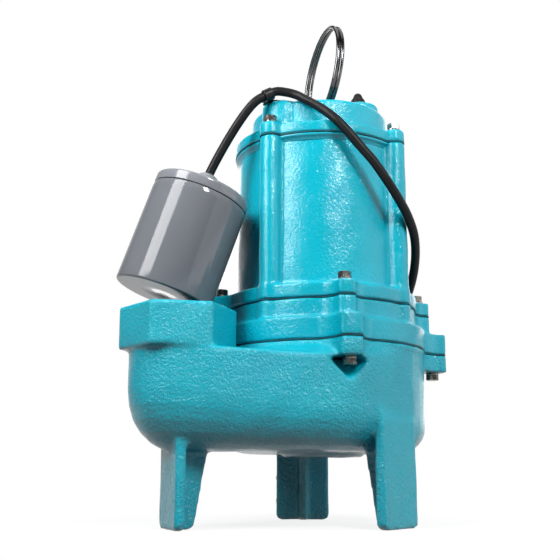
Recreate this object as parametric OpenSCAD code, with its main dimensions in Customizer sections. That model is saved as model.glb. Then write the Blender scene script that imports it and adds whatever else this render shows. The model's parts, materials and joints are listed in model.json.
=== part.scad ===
// Submersible sewage pump, upright on three cast legs. A scroll casing carries the discharge
// port, a seal plate, the motor shell and the cap are stacked on it, and the motor, its rotor,
// the shaft seal and the impeller sit inside. A float switch hangs from a clip on the cap.
// Lengths are millimetres, Z is up, and the floor is z = 0.

/* [Casing] */
// Height of the casing's flat bottom above the floor
leg_h = 57.5; // [45:0.5:80]
// Height of the casing from its bottom to its top joint
casing_h = 84.1; // [80:0.1:100]
// Outer radius of the casing round the shaft
case_r = 86; // [84:1:92]
// Wall thickness of the casing
case_wall = 7; // [5:0.5:9]
// Radius of the scroll's wide corner
scroll_r = 73; // [70:1:78]
// How far the scroll's wide corner lies to the left of the shaft
scroll_left = 17; // [12:1:22]
// How far the scroll's wide corner lies in front of the shaft
scroll_front = 30; // [26:1:34]
// Rounding of the casing's bottom edge at the back and the right
back_round = 21; // [14:1:26]
// Rounding of the scroll's bottom edge at the front
front_round = 30; // [20:1:36]
// Bore of the suction hole in the casing's bottom, as a radius
suction_r = 27; // [20:0.5:29]
// Depth of the ring round the suction hole below the bottom
suction_drop = 3; // [1:0.5:6]

/* [Discharge port] */
// Distance of the port's centre to the left of the shaft
port_left = 126.1; // [124:0.5:132]
// Distance of the port's centre in front of the shaft
port_front = 53.2; // [50:0.5:56]
// Width of the port's hexagon across its flats
port_flats = 80; // [74:1:88]
// Height of the hexagon
port_h = 33.7; // [28:0.1:40]
// How far the hexagon stands above the casing's top joint
port_rise = 26.1; // [20:0.1:32]
// Radius of the neck under the hexagon
neck_r = 37.5; // [34:0.5:39]
// Radius of the port's thread bore
port_bore_r = 28.6; // [24:0.1:30]
// Depth of the port's thread bore
port_thread_h = 26; // [18:1:30]

/* [Legs] */
// Width of a leg's outer plate
leg_w = 48; // [36:1:54]
// Thickness of a leg's plate and web
leg_t = 8; // [6:0.5:10]
// Reach of a leg's web from its outer face at the casing
web_top = 31; // [24:1:36]
// Reach of a leg's web from its outer face at the floor
web_foot = 21; // [16:1:28]
// Rounding of the leg's bottom corners
foot_round = 5; // [2:0.5:7]

/* [Flanges] */
// Radius of the joint between casing and seal plate
low_flange_r = 88; // [88:0.5:92]
// Distance of the casing bolts from the shaft
low_bolt_r = 99; // [98:0.5:102]
// Thickness of the casing's ears
casing_ear_h = 14.6; // [10:0.1:18]
// Thickness of the seal plate's flange
plate_flange_h = 17.6; // [14:0.1:22]
// Height of the seal plate above its flange
plate_neck_h = 15.6; // [12:0.1:20]
// Distance of the motor bolts from the shaft
top_bolt_r = 87; // [86:0.5:90]
// Thickness of a gasket
gasket_t = 0.8; // [0.5:0.1:1.5]
// Radius of a bolt's shank
bolt_r = 3.1; // [2.5:0.1:3.5]
// Width of a bolt's head across its flats
bolt_flats = 9.5; // [8:0.5:11]
// Height of a bolt's head
bolt_head_h = 5; // [3:0.5:6]
// Thickness of a washer
washer_t = 1.6; // [1:0.1:2.4]

/* [Motor] */
// Outer radius of the motor shell at its foot
motor_r = 73; // [72:0.5:76]
// How much narrower the motor shell is at its top, as a radius
motor_draft = 1.3; // [0:0.1:3]
// Height of the motor shell with its flange
motor_h = 138.9; // [130:0.1:160]
// Thickness of the motor shell's flange
motor_flange_h = 11.9; // [8:0.1:16]
// Radius of the motor shell's flange
motor_flange_r = 82; // [80:0.5:84]
// Bore of the motor shell, as a radius
motor_bore_r = 63.7; // [60:0.1:65]
// Radius of the four half-round ribs that hold the cap bolts
rib_r = 9; // [8:0.5:10]
// Distance of the cap bolts from the shaft
cap_bolt_r = 75.5; // [74:0.5:78]
// Length of the stator's and the rotor's laminations
stack_h = 70; // [50:1:80]
// Radius of the stator's bore
stator_bore_r = 31.8; // [28:0.1:36]
// Air gap between the stator and the rotor
air_gap = 0.4; // [0.3:0.1:1]

/* [Cap] */
// Thickness of the cap's flange
cap_flange_h = 9.4; // [7:0.1:14]
// Radius of the cap's dome
dome_r = 61; // [58:0.5:64]
// Height of the dome above the cap's flange
dome_h = 25.8; // [22:0.1:34]
// Wall of the dome
dome_wall = 7; // [5:0.5:9]
// Radius of the lobe that carries the cord clip
lobe_r = 17.5; // [15:0.5:18]
// Radius of the round boss that the power cord enters
boss_r = 18.5; // [15:0.5:20]
// Height of that boss above the dome
boss_h = 17.7; // [10:0.1:24]
// Thickness of the lug that holds the lifting ring
lug_t = 9; // [6:0.5:12]

/* [Lifting ring] */
// Mean radius of the lifting ring
ring_r = 43.8; // [38:0.1:50]
// Thickness of the lifting ring's wire
ring_wire = 3.8; // [3:0.1:4]
// Lean of the lifting ring from upright, towards the right
ring_lean = 5.4; // [0:0.1:20]
// Turn of the lifting ring and its lug away from the front
ring_turn = 7; // [-10:0.5:10]

/* [Shaft, seal and impeller] */
// Radius of the shaft at the seal and the impeller
shaft_r = 7.94; // [7:0.01:8.2]
// Radius of the bearings' bore
bearing_bore_r = 8.5; // [8.4:0.1:9]
// Outer radius of the bearings
bearing_r = 20; // [19:0.5:22]
// Width of a bearing
bearing_w = 12; // [11:0.5:14]
// Outer radius of the impeller
impeller_r = 58; // [50:1:64]
// Height of the impeller's vanes
vane_h = 10; // [6:0.5:14]
// Thickness of the impeller's vanes
vane_t = 4; // [3:0.5:6]
// Number of the impeller's vanes
vane_n = 6; // [4:1:8]
// Thickness of the impeller's disc
shroud_h = 5; // [4:0.5:7]

/* [Float] */
// Outer radius of the float
float_r = 40; // [34:0.5:44]
// Length of the float's shell, without its lid
float_len = 85.7; // [76:0.1:96]
// Wall of the float's shell and lid
float_wall = 2.5; // [2:0.1:3.5]
// Height of the float's lid
float_lid_h = 9; // [8:0.5:12]
// Length of the cone on the float's lid
float_cone_h = 15; // [10:0.5:18]
// Lean of the resting float from upright, towards the motor
float_lean = 18.8; // [14:0.2:22]
// Distance of the float's middle plane in front of the shaft
float_front = 38.4; // [36:0.2:42]
// Radius of the steel ball that works the float's switch
ball_r = 8; // [6:0.5:9]
// Travel of that ball
ball_travel = 38; // [30:1:42]

/* [Cord and clip] */
// Diameter of the switch cord
cord_d = 7.6; // [7:0.1:8]
// Thickness of the cord clip's strap
clip_t = 1.3; // [1:0.1:2]
// Width of the cord clip
clip_w = 8; // [6:0.5:10]
// Radius of the clip screw's head
screw_head_r = 2.9; // [2.4:0.1:3.2]

/* [Clearances] */
// Gap all round between a bolt and its clearance hole
hole_gap = 0.4; // [0.3:0.1:0.8]
// Gap all round between parts that seat in each other
seat_gap = 0.05; // [0.03:0.01:0.1]
// Gap between parts that only lie near each other
rest_gap = 0.3; // [0.2:0.05:0.5]
// Gap between cord and clip
cord_gap = 0.15; // [0.1:0.05:0.3]

/* [Hidden] */
$fn = 64;

over = 1;               // how far a cutter runs past the face that it opens
turn = 360;

// Joint planes, from the floor up
joint1_z = leg_h + casing_h;
plate_z = joint1_z + gasket_t;
plate_top_z = plate_z + plate_flange_h;
joint2_z = plate_top_z + plate_neck_h;
motor_z = joint2_z + gasket_t;
motor_flange_z = motor_z + motor_flange_h;
joint3_z = motor_z + motor_h;
cap_z = joint3_z + gasket_t;
cap_flange_z = cap_z + cap_flange_h;
dome_z = cap_flange_z + dome_h;

// Casing
shoulder_drop = 13;     // height of the sloping shoulder under the top joint
flange_lip_h = 3;
neck_round_h = 46;      // height over which the neck's bottom is rounded
duct_back_r = 50;       // radius of the duct where it leaves the scroll
duct_back_x = 30;
port_z = joint1_z + port_rise - port_h;
space_r = case_r - case_wall;
scoop_h = 17;           // recess under the front ear that clears its bolt head
scoop_r = 18;
scoop_tip_r = 1;
ear_z = joint1_z - casing_ear_h;
hull_fn = 40;
round_steps = 6;

// Legs: [direction of the outer face from the front towards the right, distance of that face
// from the shaft, sideways shift of the leg]
legs = [[41.2, 87.8, -18.6], [171, 87.5, 13.8], [-78, 139.9, 25.5]];
leg_blend_z = leg_h + 22;
leg_top_z = leg_h + 50;

// Depths that the bolts reach into the piece they hold
casing_bolt_grip = 12;
motor_bolt_grip = 14;
cap_bolt_grip = 16;
boss_rise = 2;          // height of the cap's round seats above its flange

// Ears, as [half width at the tip, half width at the flange, reach of the tip past its bolt]
low_ear = [9, 20, 11];
top_ear = [7, 17, 9.4];
ear_corner = 3;
ear_steps = 5;

// Seal plate
register_h = 6;
plate_floor_h = 10;
hub_r = bearing_r + 7;
cup_r = 17;
bearing_seat_z = motor_z - bearing_w - 0.4;
seat_r = 15;
seat_h = 6;
seal_seat_z = bearing_seat_z - 14;

// Motor
stack_z = motor_flange_z + 17;
winding_h = 15;
bracket_h = 6;
bracket_r = motor_bore_r + 2.3;
bracket_z = joint3_z - bracket_h;
upper_bearing_z = bracket_z - 3 - bearing_w + 6.2;
bracket_hub_h = 17.3;
bracket_vent_at = 46;
bracket_vent_r = 10;
capacitor_r = 12.5;
capacitor_l = 70;
capacitor_at = [-35, 24];
capacitor_clip_w = 12;
clip_sheet = 1.5;
capacitor_foot = 21;    // half the width of the capacitor clip's two feet
slot_n = 24;

// Cap: the lobe and the boss as [right, back] of the shaft
lobe_at = [-40, -34];
lobe_z = dome_z + 1;
lobe_round = 5;
boss_at = [36, -3];
boss_z = dome_z + boss_h;
boss_bore_r = 5.5;
edge_round = 4;
cap_r = cap_bolt_r;
lug_r = 11.5;
ring_at = [0.5, 0, dome_z + 5.2];
ring_hole_r = ring_wire + rest_gap + 0.15;
screw_at = [-40, -38];
screw_r = 2;
screw_l = 9;            // length of the clip screw under its head

// Shaft line
rotor_r = stator_bore_r - air_gap;
journal_end_z = upper_bearing_z + bearing_w;
shoulder_r = 11;
seal_head_z = seal_seat_z - 9.3;
impeller_z = joint1_z - 27.6;
shroud_z = impeller_z + vane_h;
hub_top_z = shroud_z + shroud_h + 2;
hub_low_z = impeller_z - 2;
spring_turns = 4;

// Ball bearings
race_r = (bearing_bore_r + bearing_r) / 2;
bearing_ball_r = 3.3;
bearing_ball_n = 8;
race_gap = 0.15;
race_half = 2.4;
cage_half_h = 4.4;

// Float: its frame starts at the middle of its bottom and rises along its axis
port_top_z = joint1_z + port_rise;
float_z = port_top_z + rest_gap + float_r * sin(float_lean);
float_left = sqrt(motor_r * motor_r - float_front * float_front) + 10.6
    + float_r * cos(float_lean) + float_len * sin(float_lean);
float_top = float_len + float_lid_h;
skirt_h = 6;
tube_wall = 1.8;
ball_low = 22.3;
tube_top = ball_low + ball_travel + 6;
lever_z = ball_low + ball_travel + ball_r + 0.6;
switch_z = lever_z + 4.6;
lever_pin_x = 12;
lever_pin_z = lever_z + 2.6;
lever_pin_r = 0.9;

// The frame's origin is the middle of the pump's footprint on the floor
right_reach = low_bolt_r + low_ear[2];
left_reach = max(float_left + float_r * cos(float_lean), port_left + port_flats / sqrt(3));
shaft_x = (left_reach - right_reach) / 2;

// Switch cord, all in the shaft's frame. It leaves the clip, lies over the cap's lobe, crosses
// the front of the motor, goes round its right side, rests on both flanges and drops to the floor.
cord_r = cord_d / 2;
clip_at = [screw_at[0] - 15, screw_at[1] - 12.5, lobe_z + 2.3];
clip_tilt = 28;
clip_run = 7.5;         // how far the cord runs straight on either side of the clip's middle
function clip_line(s) = clip_at + s * [cos(clip_tilt), 0, sin(clip_tilt)];
function float_axis(s) = [-float_left + s * sin(float_lean), -float_front,
                          float_z + s * cos(float_lean)];

// The float's cord leaves the float along its axis and runs into the clip along the clip
cord_rise = 6;
cord_reach = 15;
function curve(a, b, c, d, t) = pow(1 - t, 3) * a + 3 * pow(1 - t, 2) * t * b
    + 3 * (1 - t) * t * t * c + pow(t, 3) * d;
float_cord_points = concat(
    [for (i = [0 : 8]) curve(
        float_axis(float_top + float_cone_h), float_axis(float_top + float_cone_h + cord_rise),
        clip_line(-clip_run - cord_reach), clip_line(-clip_run), i / 8)],
    [clip_at]
);
cord_points = [
    clip_line(0.05), clip_line(clip_run), [-41.4, -51.8, 357.6], [-32.5, -54.8, 354.6],
    [-24.5, -61, 347.6], [-14.5, -71.5, 337], [-4, -80.2, 324.5], [4, -82.5, 315],
    [15.5, -83.4, 301], [26, -83.6, 289], [36.5, -82.4, 275], [48, -77, 261],
    [58.5, -68, 249.3], [67.6, -56, 237], [73, -43, 226], [76, -30, 214.5],
    [77, -18, 204], [77, -6, 195.5], [76.6, 6, 192.4], [76.2, 18, 192.2],
    [76, 28, 192.2], [76.2, 39.2, 191.3], [74.4, 50, 185.2], [69, 58.5, 176.5],
    [62.5, 66, 169], [54.8, 72.6, 165], [47, 78, 163.7], [40, 82.6, 162.3],
    [33.5, 87, 158.8], [28, 90.8, 152.8], [24, 94, 145], [22, 96, 134], [21, 97, 121],
    [19, 98, 105], [16.5, 99, 88], [14, 100, 74], [12, 101, 62.5], [10, 104.5, 53],
    [7, 112, 45], [3.5, 123, 40.4], [-0.5, 137, 37.8], [-4, 152, 36.8], [-5.9, 166, 36.6],
    [-5.9, 178.6, 36.6], [-4.5, 185.8, 36.6], [-3, 193.4, 36.6]
];

// Hank of the spare cord behind the pump: loops laid one above the other, drawn in at the tie
hank_at = [32.6, 256.5];
hank_turn = -11.1;
hank_run = 136;
hank_fold_r = 22.8;
hank_waist = 14;
hank_loops = 4;
hank_pitch = 8.2;
hank_rise = 1.2;        // lift of the hank over the tie that passes under it
hank_rings = 24;
hank_gap = hank_pitch - cord_d;
tail_points = [
    [7, -112, 8], [7, -104.4, 8], [6.2, -98.5, 5.4], [5.2, -91.5, 3.8], [3.8, -74, 3.8],
    [4, -54, 3.9], [6, -34, 4.3], [8.2, -11, 4.9]
];
tie_half_w = 4.5;
tie_t = 0.8;
plug_l = 36;
plug_t = 26;
plug_w = 31;
relief_l = 14;
blade_l = 16;

// ---------- shapes that several sub-parts share ----------

// Everything is modelled about the shaft, and placed in the frame of the footprint
module place() {
    translate([shaft_x, 0, 0]) children();
}

// Four copies round the shaft, the first in the direction given
module four(first = 0) {
    for (a = [0 : 3]) rotate(first + 90 * a) children();
}

// One ear of a flange: a flat tip with round corners, and flanks that flare into the flange
function ear_side(flange_r, bolt_c, ear) = concat(
    [for (i = [0 : ear_steps]) let (s = i / ear_steps)
        [flange_r - 2 + (bolt_c + ear[2] - ear_corner - flange_r + 2) * s,
         ear[0] + (ear[1] - ear[0]) * pow(1 - s, 2)]],
    [for (i = [1 : 3]) let (a = 30 * i)
        [bolt_c + ear[2] - ear_corner + ear_corner * sin(a), ear[0] - ear_corner * (1 - cos(a))]]
);

module ear_2d(flange_r, bolt_c, ear) {
    side = ear_side(flange_r, bolt_c, ear);
    last = len(side) - 1;
    polygon(concat(
        [for (p = side) p],
        [for (i = [0 : last]) [side[last - i][0], -side[last - i][1]]],
        [[flange_r - 30, -ear[1]], [flange_r - 30, ear[1]]]
    ));
}

// Outline that the seal plate's neck and the motor's flange share
module motor_outline(r) {
    circle(r);
    four() ear_2d(r, top_bolt_r, top_ear);
    four(45) translate([cap_bolt_r, 0]) circle(rib_r + 0.6);
}

// Outline of the cap's joint: a disc with four round lugs
module cap_outline() {
    circle(cap_r);
    four(45) translate([cap_bolt_r, 0]) circle(rib_r);
}

// Disc whose lower edge is rounded, over a width and a height of their own
module bowl(r, round_w, round_h, h, steps = round_steps) {
    rotate_extrude($fn = hull_fn) polygon(concat(
        [[0, 0]],
        [for (i = [0 : steps]) let (a = 90 * i / steps)
            [r - round_w + round_w * sin(a), round_h * (1 - cos(a))]],
        [[r, h], [0, h]]
    ));
}

// Upright cylinder with a rounded top edge
module rounded_post(r, z0, z1, edge) {
    translate([0, 0, z0]) rotate_extrude() union() {
        square([r, z1 - z0 - edge]);
        square([r - edge, z1 - z0]);
        translate([r - edge, z1 - z0 - edge]) intersection() {
            circle(edge);
            square(edge);
        }
    }
}

module ring(z, h, outer, inner) {
    translate([0, 0, z]) difference() {
        cylinder(h = h, r = outer);
        translate([0, 0, -over]) cylinder(h = h + 2 * over, r = inner);
    }
}

// Hexagon bolt with its shank along Z: head above z = 0, shank below it
module hex_bolt(length) {
    cylinder(h = bolt_head_h, d = bolt_flats / cos(30), $fn = 6);
    translate([0, 0, -length]) cylinder(h = length, r = bolt_r);
}

// Tube swept along points: every ring is square to the path, and carried on without twist
function unit(v) = v / norm(v);
function tangent(p, i) = unit(p[min(i + 1, len(p) - 1)] - p[max(i - 1, 0)]);
function carried(n, t) = unit(n - (n * t) * t);
function normals(p) = [
    for (i = 0, n = carried([0.31, 0.17, 0.94], tangent(p, 0)); i < len(p);
         i = i + 1, n = carried(n, tangent(p, min(i, len(p) - 1)))) n
];

module tube(p, r, sides) {
    n = normals(p);
    rings = len(p);
    points = [for (i = [0 : rings - 1]) let (t = tangent(p, i), b = cross(t, n[i]))
        for (k = [0 : sides - 1]) let (a = turn * k / sides)
            p[i] + r * cos(a) * n[i] + r * sin(a) * b];
    skin = [for (i = [0 : rings - 2]) for (k = [0 : sides - 1])
        let (a = i * sides + k, b = i * sides + (k + 1) % sides)
            each [[a, a + sides, b + sides], [a, b + sides, b]]];
    ends = [for (k = [1 : sides - 2]) each [
        [0, k, k + 1],
        [(rings - 1) * sides, (rings - 1) * sides + k + 1, (rings - 1) * sides + k]]];
    polyhedron(points, concat(skin, ends));
}

// ---------- casing ----------

module case_body(inset) {
    translate([0, 0, leg_h + inset]) hull() {
        bowl(case_r - inset, back_round - inset, back_round - inset,
             casing_h - shoulder_drop + 1.4);
        translate([-scroll_left, -scroll_front, 0])
            bowl(scroll_r - inset, front_round - inset, front_round - inset,
                 casing_h - shoulder_drop - 2 * inset);
        translate([0, 0, casing_h - inset - flange_lip_h])
            cylinder(h = 0.4, r = case_r + 1 - inset, $fn = hull_fn);
    }
}

module neck_body(inset) {
    translate([0, 0, leg_h + inset]) hull() {
        translate([-port_left, -port_front, 0])
            bowl(neck_r - inset, neck_r - inset - 1, neck_round_h - inset,
                 port_z + over - leg_h - 2 * inset);
        translate([-duct_back_x, -port_front, 0])
            bowl(duct_back_r - inset, front_round - inset, front_round - inset,
                 casing_h - shoulder_drop - 2 * inset);
    }
}

// Hollow under the front ear, and the same hollow with its wall
module scoop(wall) {
    translate([0, -low_bolt_r, ear_z - scoop_h - wall])
        cylinder(h = scoop_h + wall, r1 = scoop_tip_r + wall, r2 = scoop_r + wall);
}

// One leg: a flat outer plate whose top runs into the wall, and a web that tapers down
module leg(face, shift) {
    translate([0, shift, 0]) {
        intersection() {
            translate([0, leg_w / 2, 0]) rotate([90, 0, 0]) linear_extrude(leg_w) polygon([
                [face - leg_t, 0], [face, 0], [face, leg_blend_z], [face - leg_t, leg_top_z]]);
            translate([face - 2 * leg_t, 0, 0]) rotate([90, 0, 90]) linear_extrude(3 * leg_t)
                union() {
                    translate([foot_round - leg_w / 2, foot_round]) circle(foot_round);
                    translate([leg_w / 2 - foot_round, foot_round]) circle(foot_round);
                    translate([foot_round - leg_w / 2, 0])
                        square([leg_w - 2 * foot_round, leg_top_z]);
                    translate([-leg_w / 2, foot_round]) square([leg_w, leg_top_z]);
                }
        }
        translate([0, leg_t / 2, 0]) rotate([90, 0, 0]) linear_extrude(leg_t) union() {
            polygon([
                [face - leg_t / 2, 0], [face - web_foot + foot_round, 0],
                [face - web_foot, foot_round], [face - web_top, leg_h + case_wall / 2],
                [face - leg_t / 2, leg_h + case_wall / 2]]);
            translate([face - web_foot + foot_round, foot_round]) circle(foot_round);
        }
    }
}

module volute_casing() color([0.04, 0.68, 0.76]) place() difference() {
    union() {
        case_body(0);
        neck_body(0);
        translate([0, 0, joint1_z - flange_lip_h]) cylinder(h = flange_lip_h, r = low_flange_r);
        translate([0, 0, ear_z]) linear_extrude(casing_ear_h)
            four() ear_2d(low_flange_r, low_bolt_r, low_ear);
        translate([-port_left, -port_front, port_z])
            cylinder(h = port_h, d = port_flats / cos(30), $fn = 6);
        translate([0, 0, leg_h - suction_drop])
            cylinder(h = suction_drop + case_wall / 2, r = suction_r + case_wall);
        for (l = legs) rotate(l[0] - 90) leg(l[1], l[2]);
    }
    difference() {
        union() {
            case_body(case_wall);
            neck_body(case_wall);
            translate([0, 0, joint1_z - shoulder_drop])
                cylinder(h = shoulder_drop + over, r = space_r);
        }
        scoop(case_wall / 2);
    }
    scoop(0);
    translate([0, 0, leg_h - suction_drop - over])
        cylinder(h = suction_drop + case_wall + 2 * over, r = suction_r);
    translate([-port_left, -port_front, 0]) {
        translate([0, 0, port_top_z - port_thread_h])
            cylinder(h = port_thread_h + over, r = port_bore_r);
        translate([0, 0, port_z - case_wall])
            cylinder(h = port_top_z - port_z, r = port_bore_r - 1.6);
    }
    four() translate([low_bolt_r, 0, ear_z - over])
        cylinder(h = casing_ear_h + 2 * over, r = bolt_r + hole_gap);
}

module casing_gasket() color([0.16, 0.16, 0.15]) place() translate([0, 0, joint1_z])
    linear_extrude(gasket_t) difference() {
        union() {
            circle(low_flange_r - 0.4);
            four() ear_2d(low_flange_r - 0.4, low_bolt_r - 0.4, low_ear);
        }
        circle(space_r);
        four() translate([low_bolt_r, 0]) circle(bolt_r + hole_gap);
    }

// ---------- seal plate ----------

module seal_plate() color([0.04, 0.68, 0.76]) place() difference() {
    union() {
        translate([0, 0, plate_z]) cylinder(h = plate_flange_h, r = low_flange_r);
        translate([0, 0, plate_z]) linear_extrude(plate_flange_h)
            four() ear_2d(low_flange_r, low_bolt_r, low_ear);
        translate([0, 0, plate_top_z - over]) linear_extrude(plate_neck_h + over)
            motor_outline(motor_flange_r - 1);
        translate([0, 0, plate_z - gasket_t - register_h])
            cylinder(h = register_h + gasket_t + over, r = space_r - rest_gap);
    }
    difference() {
        translate([0, 0, plate_z + plate_floor_h])
            cylinder(h = joint2_z - plate_z, r = motor_r);
        cylinder(h = joint2_z, r = hub_r);
        translate([0, 0, plate_z]) four(45)
            translate([0, -leg_t / 4, 0]) cube([motor_r + over, leg_t / 2, plate_flange_h]);
    }
    translate([0, 0, plate_z - gasket_t - register_h - over])
        cylinder(h = seal_seat_z - plate_z + gasket_t + register_h + over, r = cup_r);
    translate([0, 0, seal_seat_z - over]) cylinder(h = seat_h + over, r = seat_r + seat_gap);
    cylinder(h = joint2_z, r = shaft_r + 1.2);
    translate([0, 0, bearing_seat_z])
        cylinder(h = bearing_w + 2 * over, r = bearing_r + seat_gap);
    four() translate([low_bolt_r, 0, plate_z - over])
        cylinder(h = casing_bolt_grip + 2 * over, r = bolt_r + seat_gap);
    four() translate([top_bolt_r, 0, joint2_z - motor_bolt_grip])
        cylinder(h = motor_bolt_grip + over, r = bolt_r + seat_gap);
}

module motor_gasket() color([0.16, 0.16, 0.15]) place() translate([0, 0, joint2_z])
    linear_extrude(gasket_t) difference() {
        motor_outline(motor_flange_r - 1.4);
        circle(motor_bore_r + 1.5);
        four() translate([top_bolt_r, 0]) circle(bolt_r + hole_gap);
    }

// ---------- motor shell and cap ----------

module motor_shell() color([0.04, 0.68, 0.76]) place() difference() {
    union() {
        translate([0, 0, motor_z]) linear_extrude(motor_flange_h) motor_outline(motor_flange_r);
        translate([0, 0, motor_z])
            cylinder(h = motor_h, r1 = motor_r, r2 = motor_r - motor_draft);
        four(45) translate([cap_bolt_r, 0, motor_flange_z - over])
            cylinder(h = joint3_z - motor_flange_z + over, r = rib_r);
    }
    translate([0, 0, motor_z - over]) cylinder(h = motor_h + 2 * over, r = motor_bore_r);
    translate([0, 0, bracket_z]) cylinder(h = bracket_h + over, r = bracket_r);
    four() translate([top_bolt_r, 0, motor_z - over])
        cylinder(h = motor_flange_h + 2 * over, r = bolt_r + hole_gap);
    four(45) translate([cap_bolt_r, 0, joint3_z - cap_bolt_grip])
        cylinder(h = cap_bolt_grip + over, r = bolt_r + seat_gap);
}

module cap_gasket() color([0.16, 0.16, 0.15]) place() translate([0, 0, joint3_z])
    linear_extrude(gasket_t) difference() {
        cap_outline();
        circle(motor_bore_r);
        four(45) translate([cap_bolt_r, 0]) circle(bolt_r + hole_gap);
    }

// Profile in the lug's plane, set upright and turned with the ring
module lug_place() translate([ring_at[0], ring_at[1], 0]) rotate([0, 0, ring_turn])
    translate([0, lug_t / 2, 0]) rotate([90, 0, 0]) children();

module top_cap() color([0.04, 0.68, 0.76]) place() difference() {
    union() {
        translate([0, 0, cap_z]) linear_extrude(cap_flange_h) cap_outline();
        four(45) translate([cap_bolt_r, 0, cap_z]) cylinder(h = cap_flange_h + boss_rise, r = rib_r - 0.6);
        rounded_post(dome_r, cap_z, dome_z, edge_round);
        translate(lobe_at) rounded_post(lobe_r, cap_z, lobe_z, lobe_round);
        translate(boss_at) rounded_post(boss_r, cap_z + cap_flange_h, boss_z, edge_round);
        lug_place() linear_extrude(lug_t) union() {
            translate([0, ring_at[2]]) circle(lug_r);
            translate([-lug_r, dome_z - edge_round]) square([2 * lug_r, edge_round + 5]);
        }
    }
    rounded_post(dome_r - dome_wall, cap_z - over, dome_z - dome_wall, edge_round);
    translate([boss_at[0], boss_at[1], dome_z - dome_wall - over])
        cylinder(h = boss_h + over, r = boss_r - dome_wall);
    translate([boss_at[0], boss_at[1], boss_z - dome_wall - over])
        cylinder(h = dome_wall + 2 * over, r = boss_bore_r);
    lug_place() translate([0, ring_at[2], -over])
        cylinder(h = lug_t + 2 * over, r = ring_hole_r);
    translate([screw_at[0], screw_at[1], lobe_z - screw_l])
        cylinder(h = screw_l + over, r = screw_r + seat_gap);
    four(45) translate([cap_bolt_r, 0, cap_z - over])
        cylinder(h = cap_flange_h + 2 * over + boss_rise, r = bolt_r + hole_gap);
}

module power_cord_gland() color([0.06, 0.06, 0.06]) place()
    translate([boss_at[0], boss_at[1], 0]) rotate_extrude() polygon([
        [0, boss_z - dome_wall], [boss_bore_r - seat_gap, boss_z - dome_wall],
        [boss_bore_r - seat_gap, boss_z], [8.5, boss_z], [8.3, boss_z + 1.2],
        [6, boss_z + 3], [5.2, boss_z + 6], [4.6, boss_z + 10], [3.6, boss_z + 12.6],
        [1.9, boss_z + 13.8], [0, boss_z + 14.1]]);

// ---------- bolts, each four of a kind ----------

// The casing bolts go up through the casing's ears into the seal plate
module casing_bolts() color([0.62, 0.61, 0.56]) place() four()
    translate([low_bolt_r, 0, ear_z - washer_t]) mirror([0, 0, 1])
        hex_bolt(casing_ear_h + gasket_t + casing_bolt_grip);

module casing_bolt_washers() color([0.66, 0.65, 0.6]) place() four()
    translate([low_bolt_r, 0, 0]) ring(ear_z - washer_t, washer_t, bolt_flats / 2 + 0.6,
                                       bolt_r + seat_gap);

module motor_bolts() color([0.62, 0.61, 0.56]) place() four()
    translate([top_bolt_r, 0, motor_flange_z + washer_t]) hex_bolt(motor_flange_h + motor_bolt_grip);

module motor_bolt_washers() color([0.66, 0.65, 0.6]) place() four()
    translate([top_bolt_r, 0, 0]) ring(motor_flange_z, washer_t, bolt_flats / 2 + 0.6,
                                       bolt_r + seat_gap);

module cap_bolts() color([0.62, 0.61, 0.56]) place() four(45)
    translate([cap_bolt_r, 0, cap_flange_z + boss_rise + washer_t])
        hex_bolt(cap_flange_h + cap_bolt_grip);

module cap_bolt_washers() color([0.66, 0.65, 0.6]) place() four(45)
    translate([cap_bolt_r, 0, 0]) ring(cap_flange_z + boss_rise, washer_t, bolt_flats / 2 + 0.6,
                                       bolt_r + seat_gap);

// ---------- stator and what sits above it ----------

module stator_core() color([0.45, 0.47, 0.5]) place() translate([0, 0, stack_z])
    linear_extrude(stack_h) difference() {
        circle(motor_bore_r - seat_gap);
        circle(stator_bore_r);
        for (i = [0 : slot_n - 1]) rotate(turn * i / slot_n)
            polygon([[stator_bore_r - over, -0.9], [stator_bore_r + 2, -0.9],
                     [stator_bore_r + 4, -2.2], [stator_bore_r + 17, -4],
                     [stator_bore_r + 17, 4], [stator_bore_r + 4, 2.2],
                     [stator_bore_r + 2, 0.9], [stator_bore_r - over, 0.9]]);
    }

module end_turns() {
    rotate_extrude() translate([stator_bore_r + 13, winding_h / 2]) union() {
        square([14, winding_h], center = true);
        square([19, winding_h - 5], center = true);
    }
}

module stator_windings() color([0.72, 0.36, 0.16]) place() {
    translate([0, 0, stack_z - winding_h]) end_turns();
    translate([0, 0, stack_z + stack_h]) end_turns();
}

module thermal_protector() color([0.1, 0.1, 0.11]) place()
    translate([-6, stator_bore_r + 7, stack_z + stack_h + winding_h]) cube([12, 11, 6]);

module bearing_bracket() color([0.7, 0.71, 0.72]) place() difference() {
    union() {
        translate([0, 0, bracket_z]) cylinder(h = bracket_h, r = bracket_r - seat_gap);
        translate([0, 0, bracket_z + bracket_h - bracket_hub_h])
            cylinder(h = bracket_hub_h, r = bearing_r + 6);
    }
    translate([0, 0, bracket_z + bracket_h - bracket_hub_h - over])
        cylinder(h = upper_bearing_z + bearing_w - bracket_z - bracket_h + bracket_hub_h + over,
                 r = bearing_r + seat_gap);
    four(45) translate([bracket_vent_at, 0, bracket_z - over])
        cylinder(h = bracket_h + 2 * over, r = bracket_vent_r);
}

module run_capacitor() color([0.75, 0.76, 0.78]) place()
    translate([capacitor_at[0], capacitor_at[1], joint3_z + capacitor_r + rest_gap])
        rotate([0, 90, 0]) cylinder(h = capacitor_l, r = capacitor_r);

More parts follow.
